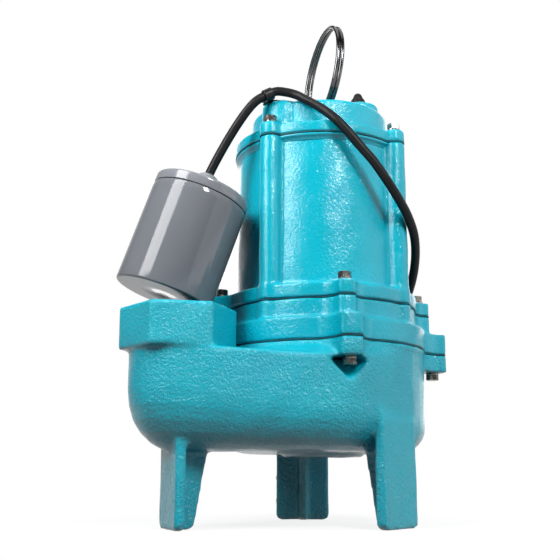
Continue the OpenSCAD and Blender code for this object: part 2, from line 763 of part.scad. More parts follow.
module capacitor_clip() color([0.6, 0.6, 0.58]) place()
    translate([-capacitor_clip_w / 2, capacitor_at[1], joint3_z]) rotate([90, 0, 90])
        linear_extrude(capacitor_clip_w) difference() {
            union() {
                translate([0, capacitor_r + rest_gap]) circle(capacitor_r + clip_sheet);
                translate([-capacitor_r - clip_sheet, 0])
                    square([2 * (capacitor_r + clip_sheet), capacitor_r]);
                translate([-capacitor_foot, 0]) square([2 * capacitor_foot, clip_sheet]);
            }
            translate([0, capacitor_r + rest_gap]) circle(capacitor_r + seat_gap);
            translate([-capacitor_r - seat_gap, -over])
                square([2 * (capacitor_r + seat_gap), capacitor_r + over]);
            translate([-capacitor_foot - over, -capacitor_foot])
                square([2 * (capacitor_foot + over), capacitor_foot]);
        }

// ---------- ball bearings ----------

module bearing_outer(z) translate([0, 0, z]) rotate_extrude() difference() {
    translate([race_r + race_half, 0]) square([bearing_r - race_r - race_half, bearing_w]);
    translate([race_r, bearing_w / 2]) circle(bearing_ball_r + race_gap);
}

module bearing_inner(z) translate([0, 0, z]) rotate_extrude() difference() {
    translate([bearing_bore_r, 0]) square([race_r - race_half - bearing_bore_r, bearing_w]);
    translate([race_r, bearing_w / 2]) circle(bearing_ball_r + race_gap);
}

module ball_row(z) for (i = [0 : bearing_ball_n - 1])
    rotate(turn * i / bearing_ball_n) translate([race_r, 0, z + bearing_w / 2])
        sphere(bearing_ball_r);

module bearing_cage(z) difference() {
    ring(z + bearing_w / 2 - cage_half_h, 2 * cage_half_h, race_r + 1.3, race_r - 1.3);
    for (i = [0 : bearing_ball_n - 1]) rotate(turn * i / bearing_ball_n)
        translate([race_r - 3, 0, z + bearing_w / 2]) rotate([0, 90, 0])
            cylinder(h = 6, r = bearing_ball_r + seat_gap);
}

module upper_bearing_outer_ring() color([0.75, 0.76, 0.78]) place()
    bearing_outer(upper_bearing_z);
module lower_bearing_outer_ring() color([0.75, 0.76, 0.78]) place()
    bearing_outer(bearing_seat_z);
module upper_bearing_inner_ring() color([0.75, 0.76, 0.78]) place()
    bearing_inner(upper_bearing_z);
module lower_bearing_inner_ring() color([0.75, 0.76, 0.78]) place()
    bearing_inner(bearing_seat_z);
module upper_bearing_balls() color([0.85, 0.86, 0.88]) place() ball_row(upper_bearing_z);
module lower_bearing_balls() color([0.85, 0.86, 0.88]) place() ball_row(bearing_seat_z);
module upper_bearing_cage() color([0.8, 0.66, 0.3]) place() bearing_cage(upper_bearing_z);
module lower_bearing_cage() color([0.8, 0.66, 0.3]) place() bearing_cage(bearing_seat_z);

// ---------- rotor, seal and impeller ----------

module shaft() color([0.78, 0.79, 0.8]) place() {
    translate([0, 0, hub_low_z - 8]) cylinder(h = bearing_seat_z - hub_low_z + 8, r = shaft_r);
    translate([0, 0, bearing_seat_z])
        cylinder(h = journal_end_z - bearing_seat_z, r = bearing_bore_r - seat_gap);
    translate([0, 0, bearing_seat_z + bearing_w])
        cylinder(h = upper_bearing_z - bearing_seat_z - bearing_w, r = shoulder_r);
}

module rotor_core() color([0.42, 0.43, 0.46]) place()
    ring(stack_z, stack_h, rotor_r, shoulder_r + seat_gap);

module rotor_end_rings() color([0.8, 0.81, 0.83]) place() {
    ring(stack_z - 8, 8, rotor_r - 1, shoulder_r + 6);
    ring(stack_z + stack_h, 8, rotor_r - 1, shoulder_r + 6);
}

module seal_seat() color([0.92, 0.9, 0.85]) place()
    ring(seal_seat_z, seat_h - rest_gap, seat_r, shaft_r + 1);

module seal_head() color([0.12, 0.12, 0.12]) place() {
    ring(seal_head_z, 6, 14, shaft_r + seat_gap);
    ring(seal_head_z + 6, 3, 12, shaft_r + seat_gap);
}

// Helical spring that presses the seal's turning face against its seat
module seal_spring() color([0.7, 0.71, 0.73]) place() {
    wire_r = 0.9;
    z0 = hub_top_z + wire_r + 0.1;
    z1 = seal_head_z - wire_r - 0.1;
    tube([for (i = [0 : 14 * spring_turns]) let (a = turn * i / 14)
        [11 * cos(a), 11 * sin(a), z0 + (z1 - z0) * i / (14 * spring_turns)]], wire_r, 6);
}

// One vane of the impeller: a crescent between two round cutters, curved back against the turn
module vane_2d() {
    bend_r = impeller_r * 0.62;
    intersection() {
        circle(impeller_r - 0.6);
        translate([impeller_r * 0.5, bend_r * 0.72]) difference() {
            circle(bend_r);
            circle(bend_r - vane_t);
            translate([-2 * bend_r, 0]) square(4 * bend_r);
        }
        translate([0, -impeller_r]) square([impeller_r, 2 * impeller_r]);
    }
}

module impeller() color([0.5, 0.48, 0.44]) place() difference() {
    union() {
        translate([0, 0, shroud_z]) cylinder(h = shroud_h, r = impeller_r);
        translate([0, 0, hub_low_z]) cylinder(h = hub_top_z - hub_low_z, r = 14);
        translate([0, 0, impeller_z]) linear_extrude(vane_h + over)
            for (i = [0 : vane_n - 1]) rotate(turn * i / vane_n) vane_2d();
    }
    translate([0, 0, hub_low_z - over])
        cylinder(h = hub_top_z - hub_low_z + 2 * over, r = shaft_r + seat_gap);
}

module impeller_washer() color([0.66, 0.65, 0.6]) place()
    ring(hub_low_z - washer_t, washer_t, 11, shaft_r + seat_gap);

module impeller_nut() color([0.72, 0.7, 0.62]) place() difference() {
    union() {
        translate([0, 0, hub_low_z - washer_t - 6]) cylinder(h = 6, d = 22 / cos(30), $fn = 6);
        translate([0, 0, hub_low_z - washer_t - 9]) cylinder(h = 3, r1 = 6, r2 = 10.5);
    }
    translate([0, 0, hub_low_z - 8 - rest_gap]) cylinder(h = 20, r = shaft_r + seat_gap);
}

// ---------- lifting ring ----------

// Split ring: one wire wound twice round, changing sides over a short step at its top
ring_step = 30;
ring_turns = 2 * turn - ring_step;
ring_rings = 92;
function ring_side(a) = let (s = (a - turn + 1.5 * ring_step) / ring_step)
    s < 0 ? -1 : s > 1 ? 1 : -cos(180 * s);
function ring_point(a) = [
    ring_side(a) * (ring_wire + 0.1) / 2,
    ring_r * sin(a + ring_step / 2),
    ring_r + ring_r * cos(a + ring_step / 2)
];

module lifting_ring() color([0.85, 0.86, 0.88]) place() translate(ring_at)
    rotate([0, ring_lean, ring_turn])
        tube([for (i = [0 : ring_rings]) ring_point((ring_turns - ring_step) * i / ring_rings)],
             ring_wire / 2, 8);

// ---------- cord clip ----------

module clip_band(r, w) translate(clip_at) rotate([0, 90 - clip_tilt, 0])
    cylinder(h = w, r = r, center = true);

module cord_clip() color([0.07, 0.07, 0.07]) place() difference() {
    union() {
        clip_band(cord_r + cord_gap + clip_t, clip_w);
        translate([screw_at[0] - 17, screw_at[1] - 6, lobe_z]) cube([23, 12, clip_t]);
        translate([clip_at[0] - clip_w / 2, clip_at[1], lobe_z])
            cube([clip_w, screw_at[1] - clip_at[1], clip_t]);
    }
    clip_band(cord_r + cord_gap, 3 * clip_w);
    translate([screw_at[0], screw_at[1], lobe_z - over])
        cylinder(h = clip_t + 2 * over, r = screw_r + hole_gap);
}

module clip_screw() color([0.8, 0.8, 0.78]) place() translate([screw_at[0], screw_at[1], 0]) {
    translate([0, 0, lobe_z + clip_t - screw_l]) cylinder(h = screw_l, r = screw_r);
    rounded_post(screw_head_r, lobe_z + clip_t, lobe_z + clip_t + 2.2, 1);
}

// ---------- switch cord, hank and plug ----------

module switch_cord() color([0.06, 0.06, 0.06]) place() tube(cord_points, cord_r, 8);

// Half the distance between the hank's two runs, and the lift over the tie
function waist(y) = hank_fold_r - hank_waist * (0.5 + 0.5 * cos(turn * y / hank_run));
function lift(y) = abs(y) > hank_run / 2 ? 0 : hank_rise * (0.5 + 0.5 * cos(turn * y / hank_run));

// A loop, from its near right corner: up the right run, round the far fold, back along the left
// run while it climbs one layer, and round the near fold. u counts loops.
function loop_point(u) = let (
    k = floor(u), v = u - k, q = v * 4, s = q - floor(q),
    y = q < 1 ? hank_run * (s - 0.5) : hank_run * (0.5 - s),
    layer = k + (q < 2 ? 0 : q < 3 ? (1 - cos(180 * s)) / 2 : 1))
    q < 1 ? [waist(y), y, layer * hank_pitch + lift(y)] :
    q < 2 ? [hank_fold_r * cos(180 * s), hank_run / 2 + hank_fold_r * sin(180 * s),
             layer * hank_pitch] :
    q < 3 ? [-waist(y), y, layer * hank_pitch + lift(y)] :
    [-hank_fold_r * cos(180 * s), -hank_run / 2 - hank_fold_r * sin(180 * s),
     layer * hank_pitch];

hank_first = hank_rings / 8;
hank_last = hank_rings * hank_loops - hank_rings / 4;
hank_points = concat(
    tail_points,
    [for (i = [hank_first : hank_last]) loop_point(i / hank_rings) + [0, 0, cord_r]],
    [[-hank_fold_r, -hank_run / 2 - 0.1 * cord_d, hank_loops * hank_pitch + cord_r]]
);
hank_least = min([for (i = [0 : len(hank_points) - 1]) for (j = [i + 8 : len(hank_points) - 1])
    norm(hank_points[i] - hank_points[j])]) - cord_d;
echo(hank_least_gap = hank_least);

module hank_place() place() translate([hank_at[0], hank_at[1], 0]) rotate(hank_turn) children();

module switch_cord_hank() color([0.06, 0.06, 0.06]) hank_place() tube(hank_points, cord_r, 6);

// Strap round the hank's waist
module hank_tie() color([0.1, 0.1, 0.1]) hank_place() {
    half = waist(1.5 * tie_half_w) + cord_r + 2 * rest_gap;
    low = hank_rise - tie_t;
    high = (hank_loops - 0.5) * hank_pitch + hank_rise + cord_d + 3 * rest_gap;
    translate([0, tie_half_w, 0]) rotate([90, 0, 0]) linear_extrude(2 * tie_half_w) difference() {
        translate([-half - tie_t, low - rest_gap]) square([2 * (half + tie_t),
                                                           high - low + tie_t + rest_gap]);
        translate([-half, hank_rise - rest_gap]) square([2 * half, high - hank_rise + rest_gap]);
    }
}

// Piggyback plug, lying on its side: its blades point one way and its sockets the other
plug_y = tail_points[0][1] - relief_l;

module plug_place() hank_place() translate([tail_points[0][0], plug_y, 0]) children();

module piggyback_plug() color([0.07, 0.07, 0.07]) plug_place() difference() {
    union() {
        translate([-plug_t / 2, foot_round - plug_l, 0])
            cube([plug_t, plug_l - foot_round, plug_w]);
        translate([foot_round - plug_t / 2, -plug_l, 0])
            cube([plug_t - 2 * foot_round, plug_l, plug_w]);
        for (s = [-1, 1]) translate([s * (plug_t / 2 - foot_round), foot_round - plug_l, 0])
            cylinder(h = plug_w, r = foot_round);
        translate([0, -over, tail_points[0][2]]) rotate([-90, 0, 0])
            cylinder(h = relief_l + over, r1 = 7.6, r2 = cord_r + 1);
    }
    for (z = [-1, 1]) translate([plug_t / 2 - 12, -26, plug_w / 2 + z * 6.35 - 1.1])
        cube([13, 7.4, 2.2]);
    translate([plug_t / 2 - 12, -10, plug_w / 2]) rotate([0, 90, 0]) cylinder(h = 13, r = 2.7);
}

module plug_blades() color([0.85, 0.7, 0.35]) plug_place() {
    for (z = [-1, 1]) translate([-plug_t / 2 - blade_l, -25.5, plug_w / 2 + z * 6.35 - 0.75])
        cube([blade_l, 6.35, 1.5]);
    translate([-plug_t / 2 - blade_l - 3, -10, plug_w / 2]) rotate([0, 90, 0])
        cylinder(h = blade_l + 3, r = 2.4);
}

// ---------- float ----------

module float_place() place() translate([-float_left, -float_front, float_z])
    rotate([0, float_lean, 0]) children();

module float_shell() color([0.5, 0.53, 0.56]) float_place() difference() {
    rotate_extrude() union() {
        square([float_r - 3, float_len]);
        translate([0, 3]) square([float_r, float_len - 3]);
        translate([float_r - 3, 3]) circle(3);
    }
    translate([0, 0, float_wall]) cylinder(h = float_len, r = float_r - float_wall);
}

module float_lid() color([0.6, 0.63, 0.66]) float_place() difference() {
    union() {
        rounded_post(float_r, float_len, float_top, 2);
        translate([0, 0, float_len - skirt_h])
            cylinder(h = skirt_h + over, r = float_r - float_wall - rest_gap);
        translate([0, 0, float_top - over]) cylinder(h = float_cone_h + over, r1 = 13.5, r2 = 7.5);
    }
    translate([0, 0, float_len - skirt_h - over])
        cylinder(h = float_lid_h + skirt_h + over - 3, r = float_r - float_wall - 4);
    translate([0, 0, float_len]) cylinder(h = 40, r = cord_r + cord_gap + 0.6);
    rotate_extrude() translate([float_r - float_wall - 1, float_len - skirt_h / 2])
        circle(1.1);
}

module float_seal() color([0.08, 0.08, 0.08]) float_place()
    rotate_extrude() translate([float_r - float_wall - 1.1, float_len - skirt_h / 2]) circle(0.95);

module float_gland() color([0.07, 0.07, 0.07]) float_place()
    ring(float_top + float_cone_h - 6, 6 + rest_gap, cord_r + cord_gap + 0.55, cord_r + cord_gap);

module ball_tube() color([0.85, 0.85, 0.82]) float_place() difference() {
    translate([0, 0, float_wall]) cylinder(h = tube_top - float_wall, r = ball_r + tube_wall);
    translate([0, 0, ball_low - ball_r - rest_gap]) cylinder(h = tube_top, r = ball_r + rest_gap);
}

module tilt_ball() color([0.8, 0.81, 0.83]) float_place()
    translate([0, 0, ball_low]) sphere(ball_r);

module micro_switch() color([0.1, 0.1, 0.12]) float_place() difference() {
    union() {
        translate([-14, -6, switch_z]) cube([28, 12, float_top - 3 - switch_z - rest_gap]);
        for (y = [-6, 3.6]) translate([lever_pin_x - 1.8, y, lever_z + 1.4])
            cube([3.6, 2.4, switch_z - lever_z]);
    }
    translate([lever_pin_x, 7, lever_pin_z]) rotate([90, 0, 0])
        cylinder(h = 14, r = lever_pin_r + seat_gap);
}

module switch_lever() color([0.82, 0.78, 0.6]) float_place() {
    translate([-lever_pin_x, -3, lever_z]) cube([2 * lever_pin_x, 6, 0.8]);
    translate([lever_pin_x - 0.8, -3, lever_z]) cube([0.8, 6, lever_pin_z - lever_z]);
    translate([lever_pin_x, 6, lever_pin_z]) rotate([90, 0, 0])
        cylinder(h = 12, r = lever_pin_r);
}

module float_cord() color([0.06, 0.06, 0.06]) place() tube(float_cord_points, cord_r, 8);

// ---------- the model ----------

volute_casing();
casing_gasket();
seal_plate();
motor_gasket();
motor_shell();
cap_gasket();
top_cap();
casing_bolts();
casing_bolt_washers();
motor_bolts();
motor_bolt_washers();
cap_bolts();
cap_bolt_washers();
stator_core();
stator_windings();
thermal_protector();
bearing_bracket();
run_capacitor();
capacitor_clip();
upper_bearing_outer_ring();
lower_bearing_outer_ring();
seal_seat();
power_cord_gland();
cord_clip();
clip_screw();
switch_cord();
switch_cord_hank();
hank_tie();
piggyback_plug();
plug_blades();
shaft();
rotor_core();
rotor_end_rings();
upper_bearing_inner_ring();
lower_bearing_inner_ring();
seal_head();
seal_spring();
impeller();
impeller_washer();
impeller_nut();
upper_bearing_balls();
upper_bearing_cage();
lower_bearing_balls();
lower_bearing_cage();
lifting_ring();
float_shell();
float_lid();
float_seal();
float_gland();
ball_tube();
micro_switch();
float_cord();
tilt_ball();
switch_lever();
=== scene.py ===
import json
import math

import bmesh
import bpy
import numpy as np
from mathutils import Matrix, Vector


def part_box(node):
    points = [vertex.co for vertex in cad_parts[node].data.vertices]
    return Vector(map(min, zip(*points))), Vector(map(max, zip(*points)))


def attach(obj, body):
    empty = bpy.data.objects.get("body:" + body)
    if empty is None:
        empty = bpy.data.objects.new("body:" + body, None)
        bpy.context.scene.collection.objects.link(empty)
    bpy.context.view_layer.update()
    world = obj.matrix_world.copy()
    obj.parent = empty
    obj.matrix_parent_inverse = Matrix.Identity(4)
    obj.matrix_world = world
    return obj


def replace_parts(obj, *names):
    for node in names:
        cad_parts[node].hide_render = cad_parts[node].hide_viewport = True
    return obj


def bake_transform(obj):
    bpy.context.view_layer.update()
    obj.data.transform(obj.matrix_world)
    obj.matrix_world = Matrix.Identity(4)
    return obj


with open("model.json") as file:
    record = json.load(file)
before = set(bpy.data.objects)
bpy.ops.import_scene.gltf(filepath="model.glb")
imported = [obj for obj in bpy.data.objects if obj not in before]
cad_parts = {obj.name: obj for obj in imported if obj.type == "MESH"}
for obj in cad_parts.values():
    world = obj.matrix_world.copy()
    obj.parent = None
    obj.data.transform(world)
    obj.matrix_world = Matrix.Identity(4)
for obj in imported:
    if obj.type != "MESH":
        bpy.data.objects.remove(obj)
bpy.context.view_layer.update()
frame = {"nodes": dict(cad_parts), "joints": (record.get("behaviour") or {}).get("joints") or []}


# ---------------------------------------------------------------- camera
# The pump stands on the floor and is looked up at from 40 mm above it, in front and a little to
# the left. Places are in millimetres about the motor's shaft, which is the rotor's hinge.

# Place of the eye, how far it looks up and to the right in degrees, and its lens and film
# width in millimetres.
EYE_AT, LOOK_UP, LOOK_RIGHT, LENS, FILM_W = (-164.4, -746.1, 40.5), 12.3, 9.75, 57.28, 36.0

shaft = next(j for j in frame["joints"] if j["name"] == "rotor_spin")["pos_m"]


def metres(points):
    """Millimetres about the shaft become metres in the frame: point / 1000 + the shaft's foot."""
    return np.array(points, float) * 0.001 + np.array([shaft[0], shaft[1], 0.0])


camera_data = bpy.data.cameras.new("camera")
camera_data.lens = LENS
camera_data.sensor_width = FILM_W
camera = bpy.data.objects.new("camera", camera_data)
camera.location = metres(EYE_AT)
camera.rotation_euler = (math.radians(90 + LOOK_UP), 0, math.radians(-LOOK_RIGHT))
bpy.context.scene.collection.objects.link(camera)
bpy.context.scene.camera = camera


# ---------------------------------------------------------------- scroll casing
# One grey iron sand casting: the scroll, its discharge neck with the hexagonal port, four bolt
# ears and three legs. It is dipped in thick teal enamel, which dries glossy over the grain of
# the sand and leaves small pits.

# Teal from where the enamel is thin to where it is thick, and the darker teal in its pits.
TEAL_STOPS = [(0.28, (0.0, 0.330, 0.440)), (0.5, (0.001, 0.380, 0.495)),
              (0.75, (0.003, 0.415, 0.530))]
PIT_TEAL = (0.0, 0.150, 0.200, 1)
PEEL_PER_PEBBLE, ENAMEL_SHINE, WAVE_PERIOD = 2.7, 0.42, 0.03


def new_group(name, inputs, outputs):
    """An empty shader node group and the sockets inside it: inputs are (name, kind, default),
    and outputs are (name, kind)."""
    tree = bpy.data.node_groups.new(name, "ShaderNodeTree")
    for label, kind, default in inputs:
        socket = tree.interface.new_socket(label, in_out="INPUT", socket_type=kind)
        if default is not None:
            socket.default_value = default
    for label, kind in outputs:
        tree.interface.new_socket(label, in_out="OUTPUT", socket_type=kind)
    return tree, tree.nodes.new("NodeGroupInput").outputs, tree.nodes.new("NodeGroupOutput").inputs


def add(tree, kind, links=(), settings=(), **values):
    """Adds a node. links are (output, input) pairs, settings go on the node itself, and values
    on its sockets, with an underscore for a space in a socket's name."""
    node = tree.nodes.new(kind)
    for key, value in dict(settings).items():
        setattr(node, key, value)
    for source, target in links:
        tree.links.new(source, node.inputs[target])
    for key, value in values.items():
        node.inputs[key.replace("_", " ")].default_value = value
    return node


def weigh(tree, *terms):
    """Adds up (output, weight) pairs: the sum of each output times its weight."""
    total = None
    for source, weight in terms:
        term = add(tree, "ShaderNodeMath", [(source, 0)], {"operation": "MULTIPLY_ADD"})
        term.inputs[1].default_value = weight
        term.inputs[2].default_value = 0.0
        if total is not None:
            tree.links.new(total, term.inputs[2])
        total = term.outputs[0]
    return total


def ramp(tree, source, stops):
    """A colour ramp on a value: stops are (position, grey or colour)."""
    node = tree.nodes.new("ShaderNodeValToRGB")
    tree.links.new(source, node.inputs["Fac"])
    elements = node.color_ramp.elements
    while len(elements) < len(stops):
        elements.new(0.5)
    for element, (position, value) in zip(elements, stops):
        element.position = position
        colour = (value,) * 3 if isinstance(value, (int, float)) else value
        element.color = (*colour, 1)
    return node.outputs["Color"]


# Enamel over sand: pebbles of one scale, a finer orange peel, pits where the paint sank, and
# slow mottling of its thickness. Cover is 0 in a pit and 1 on full paint. The height is the
# pebbles' with a share of the peel's and of the cover.
skin, skin_in, skin_out = new_group(
    "enamel_over_sand",
    [("Coordinates", "NodeSocketVector", None), ("Pebble", "NodeSocketFloat", 250.0),
     ("Peel", "NodeSocketFloat", 620.0), ("Pit Size", "NodeSocketFloat", 0.2)],
    [("Height", "NodeSocketFloat"), ("Cover", "NodeSocketFloat"),
     ("Mottle", "NodeSocketFloat"), ("Gloss", "NodeSocketFloat")])
at = (skin_in["Coordinates"], "Vector")
mottle = add(skin, "ShaderNodeTexNoise", [at], Scale=16.0, Detail=4.0)
pebble = add(skin, "ShaderNodeTexNoise", [at, (skin_in["Pebble"], "Scale")],
             Detail=2.0, Roughness=0.45, Distortion=0.6)
peel = add(skin, "ShaderNodeTexNoise", [at, (skin_in["Peel"], "Scale")], Detail=2.0)
cells = add(skin, "ShaderNodeTexVoronoi", [at, (skin_in["Pebble"], "Scale")])
hole = add(skin, "ShaderNodeMapRange", [(cells.outputs["Distance"], "Value"),
                                        (skin_in["Pit Size"], "From Max")],
           {"interpolation_type": "SMOOTHSTEP"})
sparse = ramp(skin, mottle.outputs["Fac"], [(0.47, 1.0), (0.60, 0.0)])
cover = add(skin, "ShaderNodeMath", [(hole.outputs["Result"], 0), (sparse, 1)],
            {"operation": "MAXIMUM"})
height = weigh(skin, (pebble.outputs["Fac"], 1.0), (peel.outputs["Fac"], 0.22),
               (cover.outputs[0], 0.16))
for source, label in ((height, "Height"), (cover.outputs[0], "Cover"),
                      (mottle.outputs["Fac"], "Mottle"), (peel.outputs["Fac"], "Gloss")):
    skin.links.new(source, skin_out[label])


def enamel(name, pebble_scale, depth, pit_size):
    """Teal enamel with its own grain: pebbles per metre, their depth in metres, size of pits."""
    mat = bpy.data.materials.new(name)
    mat.use_nodes = True
    tree = mat.node_tree
    shader = tree.nodes["Principled BSDF"]
    place = add(tree, "ShaderNodeTexCoord")
    coat = add(tree, "ShaderNodeGroup", settings={"node_tree": skin})
    tree.links.new(place.outputs["Object"], coat.inputs["Coordinates"])
    coat.inputs["Pebble"].default_value = pebble_scale
    coat.inputs["Peel"].default_value = pebble_scale * PEEL_PER_PEBBLE
    coat.inputs["Pit Size"].default_value = pit_size
    tint = ramp(tree, coat.outputs["Mottle"], TEAL_STOPS)
    shade = add(tree, "ShaderNodeMix", [(coat.outputs["Cover"], 0), (tint, 7)],
                {"data_type": "RGBA"})
    shade.inputs[6].default_value = PIT_TEAL
    tree.links.new(shade.outputs[2], shader.inputs["Base Color"])
    tree.links.new(ramp(tree, coat.outputs["Gloss"], [(0.3, 0.09), (0.7, 0.19)]),
                   shader.inputs["Roughness"])
    dent = add(tree, "ShaderNodeBump", [(coat.outputs["Height"], "Height")],
               Strength=0.8, Distance=depth)
    tree.links.new(dent.outputs["Normal"], shader.inputs["Normal"])
    shader.inputs["Specular IOR Level"].default_value = ENAMEL_SHINE
    return mat


def paint(obj, mat):
    """Gives a piece, or a CAD node by name, one material in its slot."""
    obj = frame["nodes"][obj] if isinstance(obj, str) else obj
    obj.data.materials.clear()
    obj.data.materials.append(mat)
    return obj


def slow_wave(points, period):
    """Unevenness of a hand-made mould: the mean of five sines, each running along its own
    direction with its own period near the one given, all in metres."""
    ways = np.array([[0.9, 0.3, 0.3], [-0.4, 0.8, 0.45], [0.2, -0.5, 0.85], [0.7, 0.6, -0.4],
                     [-0.6, 0.2, 0.75]])
    rates = np.array([1.0, 1.27, 0.83, 1.61, 1.12])[:, None]
    phases = np.array([0.3, 1.9, 4.1, 2.6, 5.2])
    return np.sin(points @ (ways * rates).T * (2 * np.pi / period) + phases).mean(axis=1)


def casting(node, voxel, passes, wave, finish):
    """A casting or moulding made from its CAD solid: cut to voxels and smoothed, so that every
    edge and inner corner is round by about two voxels, then each point moves along its normal
    by wave times the slow wave there. It stays in the solid's own box. Lengths are metres."""
    mesh = frame["nodes"][node].data.copy()
    work = bmesh.new()
    work.from_mesh(mesh)
    bmesh.ops.remove_doubles(work, verts=work.verts, dist=1e-6)
    work.to_mesh(mesh)
    work.free()
    raw = bpy.data.objects.new(node + "_raw", mesh)
    bpy.context.scene.collection.objects.link(raw)
    cut = raw.modifiers.new("voxels", "REMESH")
    cut.mode = "VOXEL"
    cut.voxel_size = voxel
    soften = raw.modifiers.new("soften", "SMOOTH")
    soften.factor = 0.5
    soften.iterations = passes
    final = bpy.data.meshes.new_from_object(
        raw.evaluated_get(bpy.context.evaluated_depsgraph_get()))
    bpy.data.objects.remove(raw)
    places = np.empty(len(final.vertices) * 3, np.float32)
    normals = np.empty(len(final.vertices) * 3, np.float32)
    final.vertices.foreach_get("co", places)
    final.vertex_normals.foreach_get("vector", normals)
    places, normals = places.reshape(-1, 3), normals.reshape(-1, 3)
    places = places + normals * (slow_wave(places, WAVE_PERIOD) * wave)[:, None]
    low, high = (np.array(c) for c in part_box(node))
    places = np.clip(places, low, high).astype(np.float32)
    final.vertices.foreach_set("co", places.ravel())
    final.update()
    final.shade_smooth()
    obj = bpy.data.objects.new(node + "_cast", final)
    bpy.context.scene.collection.objects.link(obj)
    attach(obj, "pump")
    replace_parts(obj, node)
    return paint(obj, finish)


case_enamel = enamel("teal_enamel_on_casing", pebble_scale=500.0, depth=0.0015, pit_size=0.16)
casting("volute_casing", voxel=0.0017, passes=5, wave=0.0004, finish=case_enamel)


# ---------------------------------------------------------------- thread of the discharge port
# Two-inch pipe thread, tapped into the port after casting and sprayed over with the same
# enamel. A ridge stands in from the bore and runs out at both ends.

PORT_AT, PORT_BORE_R = (-126.1, -53.2), 28.5
THREAD_Z, THREAD_TURNS, THREAD_PITCH, THREAD_H = 142.8, 9, 2.2, 0.75
# Steps a turn, how fast the ridge runs out, how far its foot is in the wall, and half the
# widths of its foot and crest.
TURN_STEPS, RUN_OUT, IN_WALL, RIDGE_FOOT, RIDGE_TOP = 64, 1.2, 0.15, 0.95, 0.2


def grid_quads(rows, cols, ring=False):
    """Quads of a grid whose points are stored row by row, joined round across the columns, and
    as a ring from the last row to the first too."""
    r, c = np.meshgrid(np.arange(rows if ring else rows - 1), np.arange(cols), indexing="ij")
    r, c = r.ravel(), c.ravel()
    below, beside = (r + 1) % rows, (c + 1) % cols
    return np.column_stack([r * cols + c, r * cols + beside, below * cols + beside,
                            below * cols + c])


def new_piece(name, body, shapes, finish, sharp=None):
    """A piece from shapes, each (points in millimetres, quads, end caps). A shape whose faces
    enclose a negative volume, the sum of the tetrahedra from its middle to them, is turned.
    sharp is the angle in degrees over which an edge stays crisp. With no body, it is attached to
    none."""
    points, faces, start = [], [], 0
    for p, quads, caps in shapes:
        p = np.asarray(p, float)
        q = p - p.mean(axis=0)
        halves = np.vstack([quads[:, [0, 1, 2]], quads[:, [0, 2, 3]]]
                           + [np.array([[cap[0], cap[i], cap[i + 1]]
                                        for i in range(1, len(cap) - 1)]) for cap in caps])
        volume = np.einsum("ij,ij->", q[halves[:, 0]],
                           np.cross(q[halves[:, 1]], q[halves[:, 2]]))
        turn = -1 if volume < 0 else 1
        faces += (quads[:, ::turn] + start).tolist()
        faces += [(np.array(cap)[::turn] + start).tolist() for cap in caps]
        points.append(p)
        start += len(p)
    mesh = bpy.data.meshes.new(name)
    mesh.from_pydata(metres(np.vstack(points)).tolist(), [], faces)
    mesh.shade_smooth()
    if sharp:
        mesh.set_sharp_from_angle(angle=math.radians(sharp))
    obj = bpy.data.objects.new(name, mesh)
    bpy.context.scene.collection.objects.link(obj)
    if body:
        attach(obj, body)
    return paint(obj, finish)


def thread_ridge():
    """Ridge of four points carried along a helix. Its crest's radius is the bore's, less the
    ridge's height times the least of 1 and the turns to the nearer end times the run-out. Its
    height on the shaft's axis is the start plus the pitch times the turns."""
    t = np.linspace(0, THREAD_TURNS, TURN_STEPS * THREAD_TURNS + 1)
    rise = THREAD_H * np.minimum(1, np.minimum(t, THREAD_TURNS - t) * RUN_OUT)
    foot = np.full(t.size, IN_WALL)
    r = PORT_BORE_R + np.column_stack([foot, -rise, -rise, foot])
    a = 2 * np.pi * t[:, None]
    z = (THREAD_Z + THREAD_PITCH * t[:, None]
         + np.array([-RIDGE_FOOT, -RIDGE_TOP, RIDGE_TOP, RIDGE_FOOT]))
    points = np.stack([PORT_AT[0] + r * np.cos(a), PORT_AT[1] + r * np.sin(a), z], axis=2)
    last = 4 * (t.size - 1)
    return points.reshape(-1, 3), grid_quads(t.size, 4), [
        (3, 2, 1, 0), (last, last + 1, last + 2, last + 3)]


bore_enamel = enamel("teal_enamel_in_bore", pebble_scale=420.0, depth=0.0003, pit_size=0.1)
new_piece("port_thread", "pump", [thread_ridge()], bore_enamel, sharp=30)


# ---------------------------------------------------------------- gaskets
# Three flat gaskets of rubberised fibre, cut to the outlines of the joints. They are squeezed
# between the castings, and their edges show as thin lines, dark under a film of enamel.

# Grain: slow mottling and a fine grain, as a mask and a height.
grain, grain_in, grain_out = new_group(
    "surface_grain",
    [("Coordinates", "NodeSocketVector", None), ("Coarse", "NodeSocketFloat", 60.0),
     ("Fine", "NodeSocketFloat", 600.0)],
    [("Mottle", "NodeSocketFloat"), ("Height", "NodeSocketFloat")])
at = (grain_in["Coordinates"], "Vector")
coarse = add(grain, "ShaderNodeTexNoise", [at, (grain_in["Coarse"], "Scale")],
             Detail=5.0, Roughness=0.6)
fine = add(grain, "ShaderNodeTexNoise", [at, (grain_in["Fine"], "Scale")],
           Detail=3.0, Roughness=0.55)
both = add(grain, "ShaderNodeMath", [(coarse.outputs["Fac"], 0), (fine.outputs["Fac"], 1)],
           {"operation": "MULTIPLY"})
grain.links.new(coarse.outputs["Fac"], grain_out["Mottle"])
grain.links.new(both.outputs[0], grain_out["Height"])


